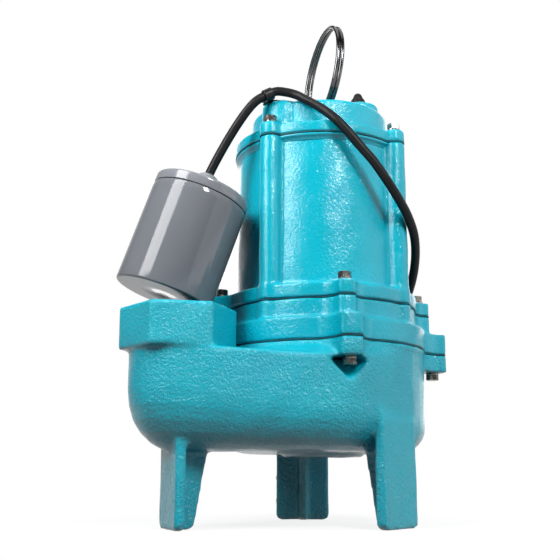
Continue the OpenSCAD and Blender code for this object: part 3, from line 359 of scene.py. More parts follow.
def grained(name, colour, worn, roughness, spread=0.1, metallic=0.0, coarse=60.0, fine=600.0,
            bump=0.1, depth=0.0003, specular=0.5):
    """A finish whose colour and roughness run with the mottling from worn to fresh, over a
    fine bump. coarse and fine are patterns per metre, depth is in metres."""
    mat = bpy.data.materials.new(name)
    mat.use_nodes = True
    tree = mat.node_tree
    shader = tree.nodes["Principled BSDF"]
    place = add(tree, "ShaderNodeTexCoord")
    surface = add(tree, "ShaderNodeGroup", settings={"node_tree": grain})
    tree.links.new(place.outputs["Object"], surface.inputs["Coordinates"])
    surface.inputs["Coarse"].default_value = coarse
    surface.inputs["Fine"].default_value = fine
    tree.links.new(ramp(tree, surface.outputs["Mottle"], [(0.3, worn), (0.7, colour)]),
                   shader.inputs["Base Color"])
    tree.links.new(ramp(tree, surface.outputs["Mottle"],
                        [(0.3, max(0.03, roughness - spread)),
                         (0.7, min(1.0, roughness + spread))]), shader.inputs["Roughness"])
    dent = add(tree, "ShaderNodeBump", [(surface.outputs["Height"], "Height")],
               Strength=bump, Distance=depth)
    tree.links.new(dent.outputs["Normal"], shader.inputs["Normal"])
    shader.inputs["Metallic"].default_value = metallic
    shader.inputs["Specular IOR Level"].default_value = specular
    return mat


gasket_fibre = grained("gasket_fibre", (0.002, 0.110, 0.140), (0.006, 0.030, 0.038), 0.6,
                       fine=1500.0, bump=0.6, depth=0.0002, specular=0.3)
for node in ("casing_gasket", "motor_gasket", "cap_gasket"):
    paint(node, gasket_fibre)


# ---------------------------------------------------------------- seal plate
# Sand casting between the scroll and the motor, with a thick flange bolted to the scroll's
# ears. It holds the lower bearing and the seal's seat, and is painted in the same dip.

plate_enamel = enamel("teal_enamel_on_plate", pebble_scale=520.0, depth=0.0007, pit_size=0.10)
casting("seal_plate", voxel=0.0014, passes=4, wave=0.0003, finish=plate_enamel)


# ---------------------------------------------------------------- impeller, its washer and nut
# Six-vane iron impeller, cast in sand and turned on its back face. It sits on the shaft's end
# and is held by a plated washer and a brass nut.

rough_iron = grained("impeller_iron", (0.24, 0.23, 0.22), (0.13, 0.11, 0.09), 0.6, metallic=0.7,
                     coarse=90.0, fine=500.0, bump=0.6, depth=0.0005)
turned_brass = grained("turned_brass", (0.76, 0.56, 0.24), (0.60, 0.42, 0.16), 0.28,
                       metallic=1.0, fine=1200.0, bump=0.1)
zinc_plate = grained("zinc_plate", (0.40, 0.385, 0.355), (0.20, 0.19, 0.17), 0.26, metallic=1.0,
                     coarse=260.0, fine=2200.0, bump=0.35, depth=0.00012)
paint("impeller", rough_iron)
paint("impeller_nut", turned_brass)
paint("impeller_washer", zinc_plate)


# ---------------------------------------------------------------- shaft seal
# Spring-loaded face seal: a lapped ceramic seat pressed into the plate, and a carbon head that
# a coil spring of stainless wire holds against it as it turns with the shaft.

lapped_ceramic = grained("lapped_ceramic", (0.80, 0.77, 0.70), (0.72, 0.69, 0.62), 0.2,
                         fine=900.0, bump=0.05)
seal_carbon = grained("seal_carbon", (0.030, 0.030, 0.032), (0.016, 0.016, 0.018), 0.38,
                      bump=0.15, fine=1400.0)
bright_steel = grained("bright_steel", (0.50, 0.51, 0.53), (0.42, 0.43, 0.45), 0.12, spread=0.05,
                       metallic=1.0, coarse=110.0, fine=1500.0, bump=0.05, depth=0.00005)
paint("seal_seat", lapped_ceramic)
paint("seal_head", seal_carbon)
paint("seal_spring", bright_steel)


# ---------------------------------------------------------------- shaft and rotor
# Ground steel shaft with a press-fitted pack of steel sheets, and end rings of aluminium cast
# round the bars. The sheets, half a millimetre each, show as fine lines round the pack.


def stacked_sheets(name, colour, lines):
    """Edges of stacked sheets: a dark steel whose surface is cut by bands along Z."""
    mat = grained(name, colour, tuple(0.7 * c for c in colour), 0.42, metallic=1.0,
                  coarse=80.0, fine=2000.0, bump=0.2, depth=0.0001)
    tree = mat.node_tree
    place = next(n for n in tree.nodes if n.bl_idname == "ShaderNodeTexCoord")
    bands = add(tree, "ShaderNodeTexWave", [(place.outputs["Object"], "Vector")],
                {"wave_type": "BANDS", "bands_direction": "Z"}, Scale=lines, Distortion=0.0)
    dent = next(n for n in tree.nodes if n.bl_idname == "ShaderNodeBump")
    cut = add(tree, "ShaderNodeBump", [(bands.outputs["Fac"], "Height"),
                                       (dent.outputs["Normal"], "Normal")],
              Strength=0.6, Distance=0.0002)
    tree.links.new(cut.outputs["Normal"], tree.nodes["Principled BSDF"].inputs["Normal"])
    return mat


lamination = stacked_sheets("lamination_edges", (0.34, 0.35, 0.38), lines=400.0)
cast_aluminium = grained("cast_aluminium", (0.60, 0.61, 0.63), (0.46, 0.47, 0.49), 0.42,
                         metallic=1.0, fine=700.0, bump=0.35)
paint("shaft", bright_steel)
paint("rotor_core", lamination)
paint("rotor_end_rings", cast_aluminium)


# ---------------------------------------------------------------- ball bearings
# Two deep-groove ball bearings of ground bearing steel, with riveted cages of pressed brass.
# The lower one sits in the seal plate and the upper one in the bracket.

for end in ("upper", "lower"):
    for part in ("outer_ring", "inner_ring", "balls"):
        paint(f"{end}_bearing_{part}", bright_steel)
    paint(f"{end}_bearing_cage", turned_brass)


# ---------------------------------------------------------------- motor shell
# Sand-cast iron tube with a foot flange and four half-round ribs that hold the cap's bolts.
# The grain under its enamel is finer than the scroll's, so that it shines more.

shell_enamel = enamel("teal_enamel_on_motor", pebble_scale=520.0, depth=0.0005, pit_size=0.06)
casting("motor_shell", voxel=0.0015, passes=4, wave=0.0004, finish=shell_enamel)

# The shell's rim flares out to the gasket under the cap: a closed profile of (radius, height)
# carried round the shaft in even steps.
RIM_STEPS = 180
r, z = np.array([(69.5, 315.0), (74.6, 315.1), (75.1, 314.7), (75.1, 313.8), (74.6, 313.0),
                 (73.6, 312.3), (72.8, 311.5), (72.3, 310.5), (71.6, 309.5), (69.5, 309.0)]).T
a = 2 * np.pi * np.arange(RIM_STEPS) / RIM_STEPS
rim = np.stack([np.outer(np.cos(a), r), np.outer(np.sin(a), r), np.tile(z, (RIM_STEPS, 1))],
               axis=2)
rim_faces = grid_quads(RIM_STEPS, r.size, ring=True)
new_piece("shell_rim", "pump", [(rim.reshape(-1, 3), rim_faces, [])], shell_enamel)


# ---------------------------------------------------------------- stator
# Pack of slotted steel sheets pressed into the shell, wound with varnished copper wire whose
# end turns stand out above and below, and a thermal cut-out tied on top.

varnished_copper = grained("varnished_copper", (0.56, 0.22, 0.08), (0.32, 0.11, 0.04), 0.3,
                           metallic=0.7, coarse=120.0, fine=900.0, bump=0.9, depth=0.0006)
black_moulding = grained("black_moulding", (0.010, 0.010, 0.011), (0.006, 0.006, 0.007), 0.35,
                         coarse=120.0, fine=1500.0, bump=0.2, depth=0.0001, specular=0.25)
paint("stator_core", lamination)
paint("stator_windings", varnished_copper)
paint("thermal_protector", black_moulding)


# ---------------------------------------------------------------- bearing bracket and capacitor
# Aluminium disc cast with four vents, that holds the upper bearing. A run capacitor in a drawn
# aluminium can lies on it under a clip of folded zinc-plated sheet.

drawn_aluminium = grained("drawn_aluminium", (0.66, 0.67, 0.69), (0.58, 0.59, 0.61), 0.3,
                          metallic=1.0, coarse=40.0, fine=1800.0, bump=0.1, depth=0.0001)
paint("bearing_bracket", cast_aluminium)
paint("run_capacitor", drawn_aluminium)
paint("capacitor_clip", zinc_plate)


# ---------------------------------------------------------------- cap
# Iron casting bolted on the motor shell, with a flat dome, the lug for the lifting ring, the
# round boss that the power cord enters and a lobe that carries the cord clip.

cap_enamel = enamel("teal_enamel_on_cap", pebble_scale=540.0, depth=0.0006, pit_size=0.10)
casting("top_cap", voxel=0.0012, passes=5, wave=0.0003, finish=cap_enamel)


# ---------------------------------------------------------------- bolts and washers
# Twelve zinc-plated hexagon bolts in three sets of four, each on a flat washer. A head is
# forged and its corners are cut by a cone, so each flat ends in an arc.

HEAD_FLATS, HEAD_H, WASHER_T, SHANK_R, SHANK_L = 9.5, 5.0, 1.6, 3.05, 18.0
HEAD_SIDES, SHANK_SIDES, WASHER_SIDES, CONE_START, CONE_SLOPE = 48, 20, 36, 0.46, 0.577
# Profiles of (radius, height) from the washer's seat.
shank_profile = [(0.5, -SHANK_L), (SHANK_R - 0.6, -SHANK_L), (SHANK_R, 1 - SHANK_L),
                 (SHANK_R, WASHER_T + 0.2)]
washer_profile = [(SHANK_R + 0.1, 0.05), (5.2, 0.05), (5.35, 0.35), (5.35, 1.3), (5.1, 1.58),
                  (SHANK_R + 0.1, 1.58)]


def lathe(profile, sides):
    """A profile of (radius, height) carried round Z: x = radius cos a, y = radius sin a."""
    r, h = np.array(profile, float).T
    a = 2 * np.pi * np.arange(sides) / sides
    points = np.stack([np.outer(r, np.cos(a)), np.outer(r, np.sin(a)),
                       np.repeat(h[:, None], sides, 1)], axis=2).reshape(-1, 3)
    last = (len(r) - 1) * sides
    return points, grid_quads(len(r), sides), [tuple(range(sides)),
                                               tuple(range(last, last + sides))]


def moved(shape, place):
    """A shape with its points turned and shifted by a matrix in millimetres."""
    points, quads, caps = shape
    return points @ np.array(place.to_3x3()).T + np.array(place.translation), quads, caps


def bolt_head():
    """Rings of a hexagon, whose radius is half the flats by the cosine of the angle from a
    flat's middle, each a share of it. Their height is the head's, less the cone's slope times
    what the radius has beyond the cone's start. The first ring lies on the washer."""
    a = 2 * np.pi * np.arange(HEAD_SIDES) / HEAD_SIDES
    corner = HEAD_FLATS / 2 / np.cos(a % (np.pi / 3) - np.pi / 6)
    share = np.array([1.0, 1.0, 0.93, 0.8, 0.4, 0.05])[:, None]
    r = corner * share
    z = HEAD_H - CONE_SLOPE * np.maximum(0, r - CONE_START * HEAD_FLATS)
    z[0] = 0
    points = np.stack([r * np.cos(a), r * np.sin(a), z], axis=2).reshape(-1, 3)
    last = (share.size - 1) * HEAD_SIDES
    return points, grid_quads(share.size, HEAD_SIDES), [
        tuple(range(HEAD_SIDES)), tuple(range(last, last + HEAD_SIDES))]


def bolt_set(node, washers, circle_r, first, seat, up):
    """Four bolts and washers on a circle, the first at an angle in degrees. seat is the
    washers' lower face, and up is 1 or -1 for the way the heads point. Each head stands at its
    own angle, as bolts are tightened."""
    bolts, rings = [], []
    for i in range(4):
        a = math.radians(first + 90 * i)
        spot = Matrix.Translation((circle_r * math.cos(a), circle_r * math.sin(a), seat))
        spot = spot @ Matrix.Diagonal((1, up, up, 1))
        turned = Matrix.Rotation(math.radians(17 * i + 8), 4, "Z")
        bolts.append(moved(bolt_head(), spot @ Matrix.Translation((0, 0, WASHER_T)) @ turned))
        bolts.append(moved(lathe(shank_profile, SHANK_SIDES), spot))
        rings.append(moved(lathe(washer_profile, WASHER_SIDES), spot))
    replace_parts(new_piece(node + "_made", "pump", bolts, zinc_plate, sharp=28), node)
    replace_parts(new_piece(washers + "_made", "pump", rings, zinc_plate, sharp=35),
                washers)


bolt_set("casing_bolts", "casing_bolt_washers", circle_r=99.0, first=0, seat=127.0, up=-1)
bolt_set("motor_bolts", "motor_bolt_washers", circle_r=87.0, first=0, seat=188.3, up=1)
bolt_set("cap_bolts", "cap_bolt_washers", circle_r=75.5, first=45, seat=327.5, up=1)


# ---------------------------------------------------------------- lifting ring
# Split ring of polished stainless wire wound twice round, with one step where the wire changes
# sides. It hangs in the hole of the cap's lug and leans to the right.

RING_AT, RING_R, RING_WIRE, WIRE_GAP = (0.5, 0.0, 356.5), 43.8, 3.8, 0.1
RING_LEAN, RING_TURN = math.radians(5.4), math.radians(7.0)
# The step's length and its end, in degrees round from the ring's top.
RING_STEP, STEP_END, RING_POINTS, WIRE_SIDES = 30.0, 195, 300, 20
ANY_WAY = (0.31, 0.17, 0.94)


def ring_line(count):
    """Middle of the wire: a circle of the ring's radius that stands on the lug's hole, run
    through twice, on one side of the plane and then the other, with a cosine step between. The
    step lies at the foot of the ring, in the lug, and the wire ends on either side of it."""
    along = np.linspace(0, 720 - 2 * RING_STEP, count)
    s = np.clip((along - 360 + 1.5 * RING_STEP) / RING_STEP, 0, 1)
    a = np.radians(along + RING_STEP / 2 + STEP_END)
    return np.column_stack([-np.cos(np.pi * s) * (RING_WIRE + WIRE_GAP) / 2,
                            RING_R * np.sin(a), RING_R + RING_R * np.cos(a)])


def sweep(path, radius, sides):
    """A round section carried along a path, with a cap on both ends. Each ring is square to
    the path, and its first direction is the last ring's, less its share along the path, so the
    tube doesn't twist. The first ring's is square to any way that isn't the path's."""
    path = np.asarray(path, float)
    radius = np.broadcast_to(np.asarray(radius, float), len(path))
    tangent = np.gradient(path, axis=0)
    tangent /= np.linalg.norm(tangent, axis=1)[:, None]
    normal = np.empty_like(path)
    carried = np.cross(tangent[0], ANY_WAY)
    for i, t in enumerate(tangent):
        carried = carried - t * (carried @ t)
        carried /= np.linalg.norm(carried)
        normal[i] = carried
    side = np.cross(tangent, normal)
    a = 2 * np.pi * np.arange(sides) / sides
    points = (path[:, None] + radius[:, None, None] * (
        np.cos(a)[None, :, None] * normal[:, None] + np.sin(a)[None, :, None] * side[:, None]))
    last = (len(path) - 1) * sides
    return points.reshape(-1, 3), grid_quads(len(path), sides), [
        tuple(range(sides)), tuple(range(last, last + sides))]


ring_wire = ring_line(RING_POINTS)
ring_frame = np.array(Matrix.Rotation(RING_TURN, 3, "Z") @ Matrix.Rotation(RING_LEAN, 3, "Y"))
ring_wire = ring_wire @ ring_frame.T + np.array(RING_AT)
from_end = np.minimum(np.arange(RING_POINTS), np.arange(RING_POINTS)[::-1])
blunt_ends = np.minimum(1, 0.75 + 0.25 * from_end)
# The wire's colour is far darker than polished stainless steel. This is painted shade, so that
# what the ring mirrors comes out dark grey.
wire_with_painted_shade = grained("wire_with_painted_shade", (0.13, 0.132, 0.135), (0.10, 0.102, 0.105), 0.17,
                        spread=0.01, metallic=1.0, coarse=20.0, fine=900.0, bump=0.0,
                        depth=0.00002)
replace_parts(new_piece("lifting_ring_wire", "ring",
                      [sweep(ring_wire, RING_WIRE / 2 * blunt_ends, WIRE_SIDES)],
                      wire_with_painted_shade), "lifting_ring")


# ---------------------------------------------------------------- power cord's seal
# Black rubber plug in the cap's boss, moulded with a flared foot that covers the bore and a
# tapered nose.

BOSS_TOP, NOSE_SIDES = (36.0, -3.0, 369.2), 48
nose = [(5.2, -6.5), (5.4, -5.5), (5.4, 0.02), (8.4, 0.05), (8.5, 0.6), (8.3, 1.3), (7.6, 2.2),
        (7.2, 3.4), (6.9, 5.4), (6.5, 6.6), (5.7, 7.7), (4.9, 8.9), (4.3, 10.2), (3.7, 11.6),
        (3.0, 12.8), (2.0, 13.6), (0.9, 14.0), (0.2, 14.08)]
moulded_rubber = grained("moulded_rubber", (0.010, 0.009, 0.010), (0.006, 0.005, 0.006), 0.4,
                         coarse=90.0, fine=1400.0, bump=0.25, depth=0.00015, specular=0.25)
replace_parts(new_piece(
    "cord_seal", "pump",
    [moved(lathe(nose, NOSE_SIDES), Matrix.Translation(BOSS_TOP))],
    moulded_rubber, sharp=50), "power_cord_gland")


# ---------------------------------------------------------------- cord clip and its screw
# Moulded black loop round the switch cord, with a flat foot that one pan-head screw holds on
# the cap's lobe. The float hangs from it, and swings about it.

casting("cord_clip", voxel=0.00040, passes=3, wave=0.0, finish=black_moulding)
bright_screw = grained("bright_screw", (0.62, 0.62, 0.61), (0.45, 0.45, 0.44), 0.16,
                       metallic=1.0, coarse=300.0, fine=2500.0, bump=0.1, depth=0.00005)
paint("clip_screw", bright_screw)


# ---------------------------------------------------------------- float
# Grey injection-moulded can, smooth and glossy, with a lid pressed and glued in so that a dark
# seam shows, and a small dome that grips the cord. An O-ring lies behind the seam.

FLOAT_AT, FLOAT_LEAN, DOME_TOP, FLOAT_SIDES = (-138.168, -38.4, 180.89), 18.8, 109.7, 160
float_place = Matrix.Translation(FLOAT_AT) @ Matrix.Rotation(math.radians(FLOAT_LEAN), 4, "Y")


def arc(middle, r, start, end, steps=6):
    """Points of a profile on an arc round its middle, from one angle to the other."""
    a = np.radians(np.linspace(start, end, steps))
    return list(zip(middle[0] + r * np.cos(a), middle[1] + r * np.sin(a)))


# Profiles of (radius, height) about the float's axis, from its bottom.
can_profile = ([(0.5, 0.35), (5, 0.35), (5.6, 0.0), (20, 0.0), (34, 0.0), (37.2, 0.0)]
               + arc((38.4, 1.6), 1.6, -90, 0, 7)
               + [(40, 20), (40, 50), (40, 80), (39.95, 84.7)]
               + arc((39.3, 84.9), 0.55, 0, 90, 4)
               + [(37.6, 85.5), (37.5, 80), (37.5, 30), (37.5, 2.6), (20, 2.6), (0.5, 2.6)])
lid_profile = ([(4.2, 88.5), (33.0, 88.5), (33.0, 79.8), (37.1, 79.8), (37.1, 86.1)]
               + arc((39.3, 86.6), 0.55, -90, 0, 4) + arc((37.6, 92.3), 2.4, 0, 90, 8)
               + [(30, 94.75), (18, 94.9), (13.6, 95.3), (11.9, 96.4), (11.0, 98.4), (10.4, 101)]
               + arc((4.2, 103.0), 6.0, 0, 82, 9) + [(4.3, 108.9), (3.9, 108.2)])
float_plastic = grained("float_plastic", (0.145, 0.155, 0.172), (0.130, 0.140, 0.156), 0.10,
                        spread=0.02, coarse=22.0, fine=900.0, bump=0.03, depth=0.0001,
                        specular=0.34)
lid_plastic = grained("lid_plastic", (0.20, 0.21, 0.23), (0.18, 0.19, 0.21), 0.14, spread=0.03,
                      coarse=22.0, fine=900.0, bump=0.03, depth=0.0001)
can_shape = moved(lathe(can_profile, FLOAT_SIDES), float_place)
lid_shape = moved(lathe(lid_profile, FLOAT_SIDES), float_place)
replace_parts(new_piece("float_can", "float", [can_shape], float_plastic, sharp=40),
            "float_shell")
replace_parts(new_piece("float_lid_dome", "float", [lid_shape], lid_plastic, sharp=40),
            "float_lid")
paint("float_seal", moulded_rubber)
paint("float_gland", moulded_rubber)


# ---------------------------------------------------------------- switch inside the float
# A steel ball rolls in a moulded tube when the float tips, and lifts the sprung brass lever of
# a small switch that is snapped under the lid.

milky_plastic = grained("milky_plastic", (0.66, 0.66, 0.62), (0.58, 0.58, 0.54), 0.4, bump=0.05)
paint("ball_tube", milky_plastic)
paint("tilt_ball", bright_steel)
paint("micro_switch", black_moulding)
paint("switch_lever", turned_brass)


# ---------------------------------------------------------------- switch cord
# Two-core cord in a round black rubber jacket. It runs from the float into the clip, over the
# cap, round the motor and down to the floor, and its spare length lies in a hank behind.

CORD_D, CORD_SIDES, CORD_STEP, SHORT_SIDES, SHORT_STEP = 7.6, 16, 3.0, 20, 2.0
CLIP_AT, CLIP_TILT, CLIP_RUN = np.array([-55, -50.5, 354.6]), math.radians(28), 7.5
clip_way = np.array([math.cos(CLIP_TILT), 0, math.sin(CLIP_TILT)])
float_way = np.array([math.sin(math.radians(FLOAT_LEAN)), 0, math.cos(math.radians(FLOAT_LEAN))])
HANG_FROM = np.array(FLOAT_AT) + DOME_TOP * float_way
# Route given point by point, from the clip over the cap, round the motor and down to the hank.
OVER_PUMP = [
    (-41.4, -51.8, 357.6), (-32.5, -54.8, 354.6), (-24.5, -61, 347.6), (-14.5, -71.5, 337),
    (-4, -80.2, 324.5), (4, -82.5, 315), (15.5, -83.4, 301), (26, -83.6, 289),
    (36.5, -82.4, 275), (48, -77, 261), (58.5, -68, 249.3), (67.6, -56, 237), (73, -43, 226),
    (76, -30, 214.5), (77, -18, 204), (77, -6, 195.5), (76.6, 6, 192.4), (76.2, 18, 192.2),
    (76, 28, 192.2), (76.2, 39.2, 191.3), (74.4, 50, 185.2), (69, 58.5, 176.5), (62.5, 66, 169),
    (54.8, 72.6, 165), (47, 78, 163.7), (40, 82.6, 162.3), (33.5, 87, 158.8), (28, 90.8, 152.8),
    (24, 94, 145), (22, 96, 134), (21, 97, 121), (19, 98, 105), (16.5, 99, 88), (14, 100, 74),
    (12, 101, 62.5), (10, 104.5, 53), (7, 112, 45), (3.5, 123, 40.4), (-0.5, 137, 37.8),
    (-4, 152, 36.8), (-5.9, 166, 36.6), (-5.9, 178.6, 36.6), (-4.5, 185.8, 36.6),
    (-3, 193.4, 36.6),
]
HANK_AT, HANK_TURN = (32.6, 256.5), math.radians(-11.1)
HANK_RUN, HANK_FOLD, HANK_WAIST, HANK_PITCH, HANK_RISE = 136, 22.8, 14, 8.2, 1.2
HANK_LOOPS, LOOP_POINTS = 4, 24
# The cord's last stretch in the hank's own frame, from inside the plug to the lowest loop.
HANK_TAIL = [(7, -112, 8), (7, -104.4, 8), (6.2, -98.5, 5.6), (5.2, -91.5, 4.2), (3.8, -74, 3.9),
             (4, -54, 3.9), (6, -34, 4.3), (8.2, -11, 4.9)]


def hank_line(u):
    """The hank after u loops: up the right run, round the far fold, back along the left run
    while it climbs one layer, and round the near fold. Its half width is the fold's radius less
    the waist times cos squared of (pi y / run), and it lifts in the same way over the tie."""
    layer = np.floor(u)
    q = (u - layer) * 4
    s = q - np.floor(q)
    y = np.where(q < 1, s - 0.5, 0.5 - s) * HANK_RUN
    near = 0.5 + 0.5 * np.cos(2 * np.pi * y / HANK_RUN)
    half = HANK_FOLD - HANK_WAIST * near
    climb = np.where(q < 2, 0, np.where(q < 3, (1 - np.cos(np.pi * s)) / 2, 1))
    z = (layer + climb) * HANK_PITCH + CORD_D / 2
    fold = [HANK_FOLD * np.cos(np.pi * s), HANK_RUN / 2 + HANK_FOLD * np.sin(np.pi * s), z]
    pick = [q < 1, q < 2, q < 3]
    return np.column_stack([np.select(pick, choice, last) for choice, last in (
        ([half, fold[0], -half], -fold[0]), ([y, fold[1], y], -fold[1]),
        ([z + HANK_RISE * near, z, z + HANK_RISE * near], z))])


def from_hank(points):
    """From the hank's own frame to the shaft's: a turn about Z and a shift."""
    p = np.asarray(points, float)
    c, s = math.cos(HANK_TURN), math.sin(HANK_TURN)
    return np.column_stack([HANK_AT[0] + c * p[:, 0] - s * p[:, 1],
                            HANK_AT[1] + s * p[:, 0] + c * p[:, 1], p[:, 2]])


SPAN_POINTS = 14    # points on the curve between two that are given


def flowing(points, step):
    """Centripetal Catmull-Rom curve through the points: on each span, straight lines between
    the points are blended twice, with knots the root of a chord apart. Cut in even steps."""
    p = np.asarray(points, float)
    p = np.vstack([2 * p[0] - p[1], p, 2 * p[-1] - p[-2]])
    p = np.stack([p[:-3], p[1:-2], p[2:-1], p[3:]])[:, :, None, :]
    gaps = np.sqrt(np.linalg.norm(np.diff(p, axis=0), axis=-1, keepdims=True))
    knot = np.concatenate([np.zeros_like(gaps[:1]), np.cumsum(gaps, axis=0)])
    shares = np.linspace(0, 1, SPAN_POINTS, endpoint=False)[None, :, None]
    t = knot[1] + (knot[2] - knot[1]) * shares

    def between(a, b, low, high):
        return ((high - t) * a + (t - low) * b) / (high - low)

    first = [between(p[k], p[k + 1], knot[k], knot[k + 1]) for k in range(3)]
    second = [between(first[k], first[k + 1], knot[k], knot[k + 2]) for k in range(2)]
    line = between(second[0], second[1], knot[1], knot[2]).reshape(-1, 3)
    line = np.vstack([line, np.asarray(points, float)[-1]])
    along = np.concatenate([[0], np.cumsum(np.linalg.norm(np.diff(line, axis=0), axis=1))])
    even = np.linspace(0, along[-1], max(2, int(round(along[-1] / step)) + 1))
    return np.column_stack([np.interp(even, along, line[:, k]) for k in range(3)])


cord_jacket = grained("cord_jacket", (0.007, 0.007, 0.008), (0.004, 0.004, 0.005), 0.42,
                      coarse=70.0, fine=1300.0, bump=0.3, depth=0.00015, specular=0.18)
# It starts a hair past the clip's middle, where the short end stops, joins the hank a quarter
# loop before its upper end and runs down through it.
in_clip = [CLIP_AT + 0.05 * clip_way, CLIP_AT + CLIP_RUN * clip_way]
loops = np.arange((HANK_LOOPS - 0.25) * LOOP_POINTS, 2, -1) / LOOP_POINTS
laid = flowing(np.vstack([in_clip, OVER_PUMP, from_hank(hank_line(loops)[1:]),
                          from_hank(HANK_TAIL[::-1])]), CORD_STEP)
switch_cord = new_piece("switch_cord_and_hank", "pump", [sweep(laid, CORD_D / 2, CORD_SIDES)],
                        cord_jacket)
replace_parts(switch_cord, "switch_cord", "switch_cord_hank")

# The short end: straight out of the float's dome, then a cubic from the float's axis into the
# clip's: (1-t)^3 a + 3 (1-t)^2 t b + 3 (1-t) t^2 c + t^3 d. b lies on the float's axis and c on
# the clip's, each at a pull from its own end.
IN_DOME, DOME_PULL, CLIP_PULL = (7.6, 4), 6, 22.5
t = np.linspace(0, 1, 9)[:, None]
a, b = HANG_FROM, HANG_FROM + DOME_PULL * float_way
c, d = CLIP_AT - CLIP_PULL * clip_way, CLIP_AT - CLIP_RUN * clip_way
bow = (1 - t) ** 3 * a + 3 * (1 - t) ** 2 * t * b + 3 * (1 - t) * t ** 2 * c + t ** 3 * d
in_dome = [HANG_FROM - depth * float_way for depth in IN_DOME]
hanging = flowing(np.vstack([in_dome, bow, CLIP_AT]), SHORT_STEP)
float_end = new_piece("float_cord_end", None, [sweep(hanging, CORD_D / 2, SHORT_SIDES)],
                      cord_jacket)
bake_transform(float_end)
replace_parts(float_end, "float_cord")


# ---------------------------------------------------------------- tie of the hank
# Strap of woven black hook-and-loop tape round the waist of the hank, closed on itself with
# its end on top.

TIE_HALF_W, TIE_T, TIE_HALF, TIE_LOW, TIE_HIGH = 4.5, 0.8, 13.9, 0.5, 38.8
# Where the strap starts in degrees, how far it goes in rounds, and where its end climbs.
TIE_START, TIE_ROUND, LAP_START, LAP_RISE = 70, 1.1, 0.94, 0.06
LOOP_POWER, STRAP_POWER = 5, 4


def tie_strap():
    """A flat section carried along a loop of power 5, a little over once round, with the end
    lying on the start. On a loop, (|x| / half width)^power + (|z| / half height)^power = 1, so
    x is the half width times the cosine to the power of 2 by the loop's own, with its sign, and
    z has the sine. The section is a loop of power 4 with the strap's width and thickness."""
    rows, cols = 150, 20

    def signed(value, power):
        return np.sign(value) * np.abs(value) ** power

    u = np.linspace(0, TIE_ROUND, rows)
    a = 2 * np.pi * u + np.radians(TIE_START)
    half = np.array([TIE_HALF, (TIE_HIGH - TIE_LOW) / 2])
    rounds = np.column_stack([np.cos(a), np.sin(a)])
    out = signed(rounds, 2 - 2 / LOOP_POWER) / half
    out /= np.linalg.norm(out, axis=1)[:, None]
    grow = (TIE_T + 0.1) * np.clip((u - LAP_START) / LAP_RISE, 0, 1)[:, None]
    line = signed(rounds, 2 / LOOP_POWER) * half + out * grow
    v = 2 * np.pi * np.arange(cols) / cols
    wide = TIE_HALF_W * signed(np.cos(v), 2 / STRAP_POWER)
    thick = TIE_T / 2 * signed(np.sin(v), 2 / STRAP_POWER)
    x = line[:, :1] + out[:, :1] * thick
    z = line[:, 1:] + out[:, 1:] * thick + (TIE_HIGH + TIE_LOW) / 2
    points = np.stack([x, np.broadcast_to(wide, x.shape), z], axis=2).reshape(-1, 3)
    last = (rows - 1) * cols
    return from_hank(points), grid_quads(rows, cols), [
        tuple(range(cols)), tuple(range(last, last + cols))]


def woven(name, colour, threads):
    """Tape with fine crossing threads: two sets of bands, across and along, that dent it."""
    mat = grained(name, colour, tuple(0.5 * c for c in colour), 0.8, coarse=150.0, fine=1800.0,
                  bump=0.5, depth=0.0002, specular=0.3)
    tree = mat.node_tree
    place = next(n for n in tree.nodes if n.bl_idname == "ShaderNodeTexCoord")
    waves = [add(tree, "ShaderNodeTexWave", [(place.outputs["Object"], "Vector")],
                 {"wave_type": "BANDS", "bands_direction": way}, Scale=threads)
             for way in ("Y", "Z")]
    height = weigh(tree, (waves[0].outputs["Fac"], 0.5), (waves[1].outputs["Fac"], 0.5))
    dent = next(n for n in tree.nodes if n.bl_idname == "ShaderNodeBump")
    weave = add(tree, "ShaderNodeBump", [(height, "Height"), (dent.outputs["Normal"], "Normal")],
                Strength=0.5, Distance=0.0003)
    tree.links.new(weave.outputs["Normal"], tree.nodes["Principled BSDF"].inputs["Normal"])
    return mat


tie_tape = woven("tie_tape", (0.030, 0.030, 0.032), threads=260.0)
tie = new_piece("hank_tie_strap", "pump", [tie_strap()], tie_tape)
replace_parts(tie, "hank_tie")


# ---------------------------------------------------------------- piggyback plug
# Black moulded plug that lies on its side at the cord's end. Its blades point one way, and the
# sockets for the pump's own plug open the other way. The cord leaves it in a ribbed sleeve.

PLUG_TIP_Y, SLEEVE_L, SLEEVE_AT = -126.0, 15.5, (7, 8.0)
SLEEVE_R, SLEEVE_TAPER, SLEEVE_RIBS, RIB_H = 7.4, 2.9, 5, 0.55
plug = casting("piggyback_plug", voxel=0.00065, passes=5, wave=0.0, finish=moulded_rubber)
blade_brass = grained("blade_brass", (0.80, 0.62, 0.30), (0.66, 0.50, 0.22), 0.18,
                      metallic=1.0, coarse=200.0, fine=2500.0, bump=0.1, depth=0.00005)
paint("plug_blades", blade_brass)

# Sleeve: its radius falls along a line by its taper, with round ribs on it, whose height is the
# root of a sine where that is positive. Its axis lies along the hank's.
y = np.linspace(0, SLEEVE_L, 46)
swell = np.maximum(0, np.sin(np.pi * y / SLEEVE_L * 2 * SLEEVE_RIBS))
ribs = RIB_H * swell ** 0.5 * (y < SLEEVE_L - 0.5)
sleeve = ([(0.5, 0.0), (SLEEVE_R, 0.0)]
          + list(zip(SLEEVE_R - SLEEVE_TAPER * y / SLEEVE_L + ribs, y))
          + [(3.9, SLEEVE_L + 0.2)])
points, quads, caps = lathe(sleeve, 40)
points = from_hank(np.column_stack([
    SLEEVE_AT[0] + points[:, 0], PLUG_TIP_Y - 0.4 + points[:, 2], SLEEVE_AT[1] - points[:, 1]]))
relief = new_piece("plug_sleeve", "pump", [(points, quads, caps)], moulded_rubber,
                   sharp=60)


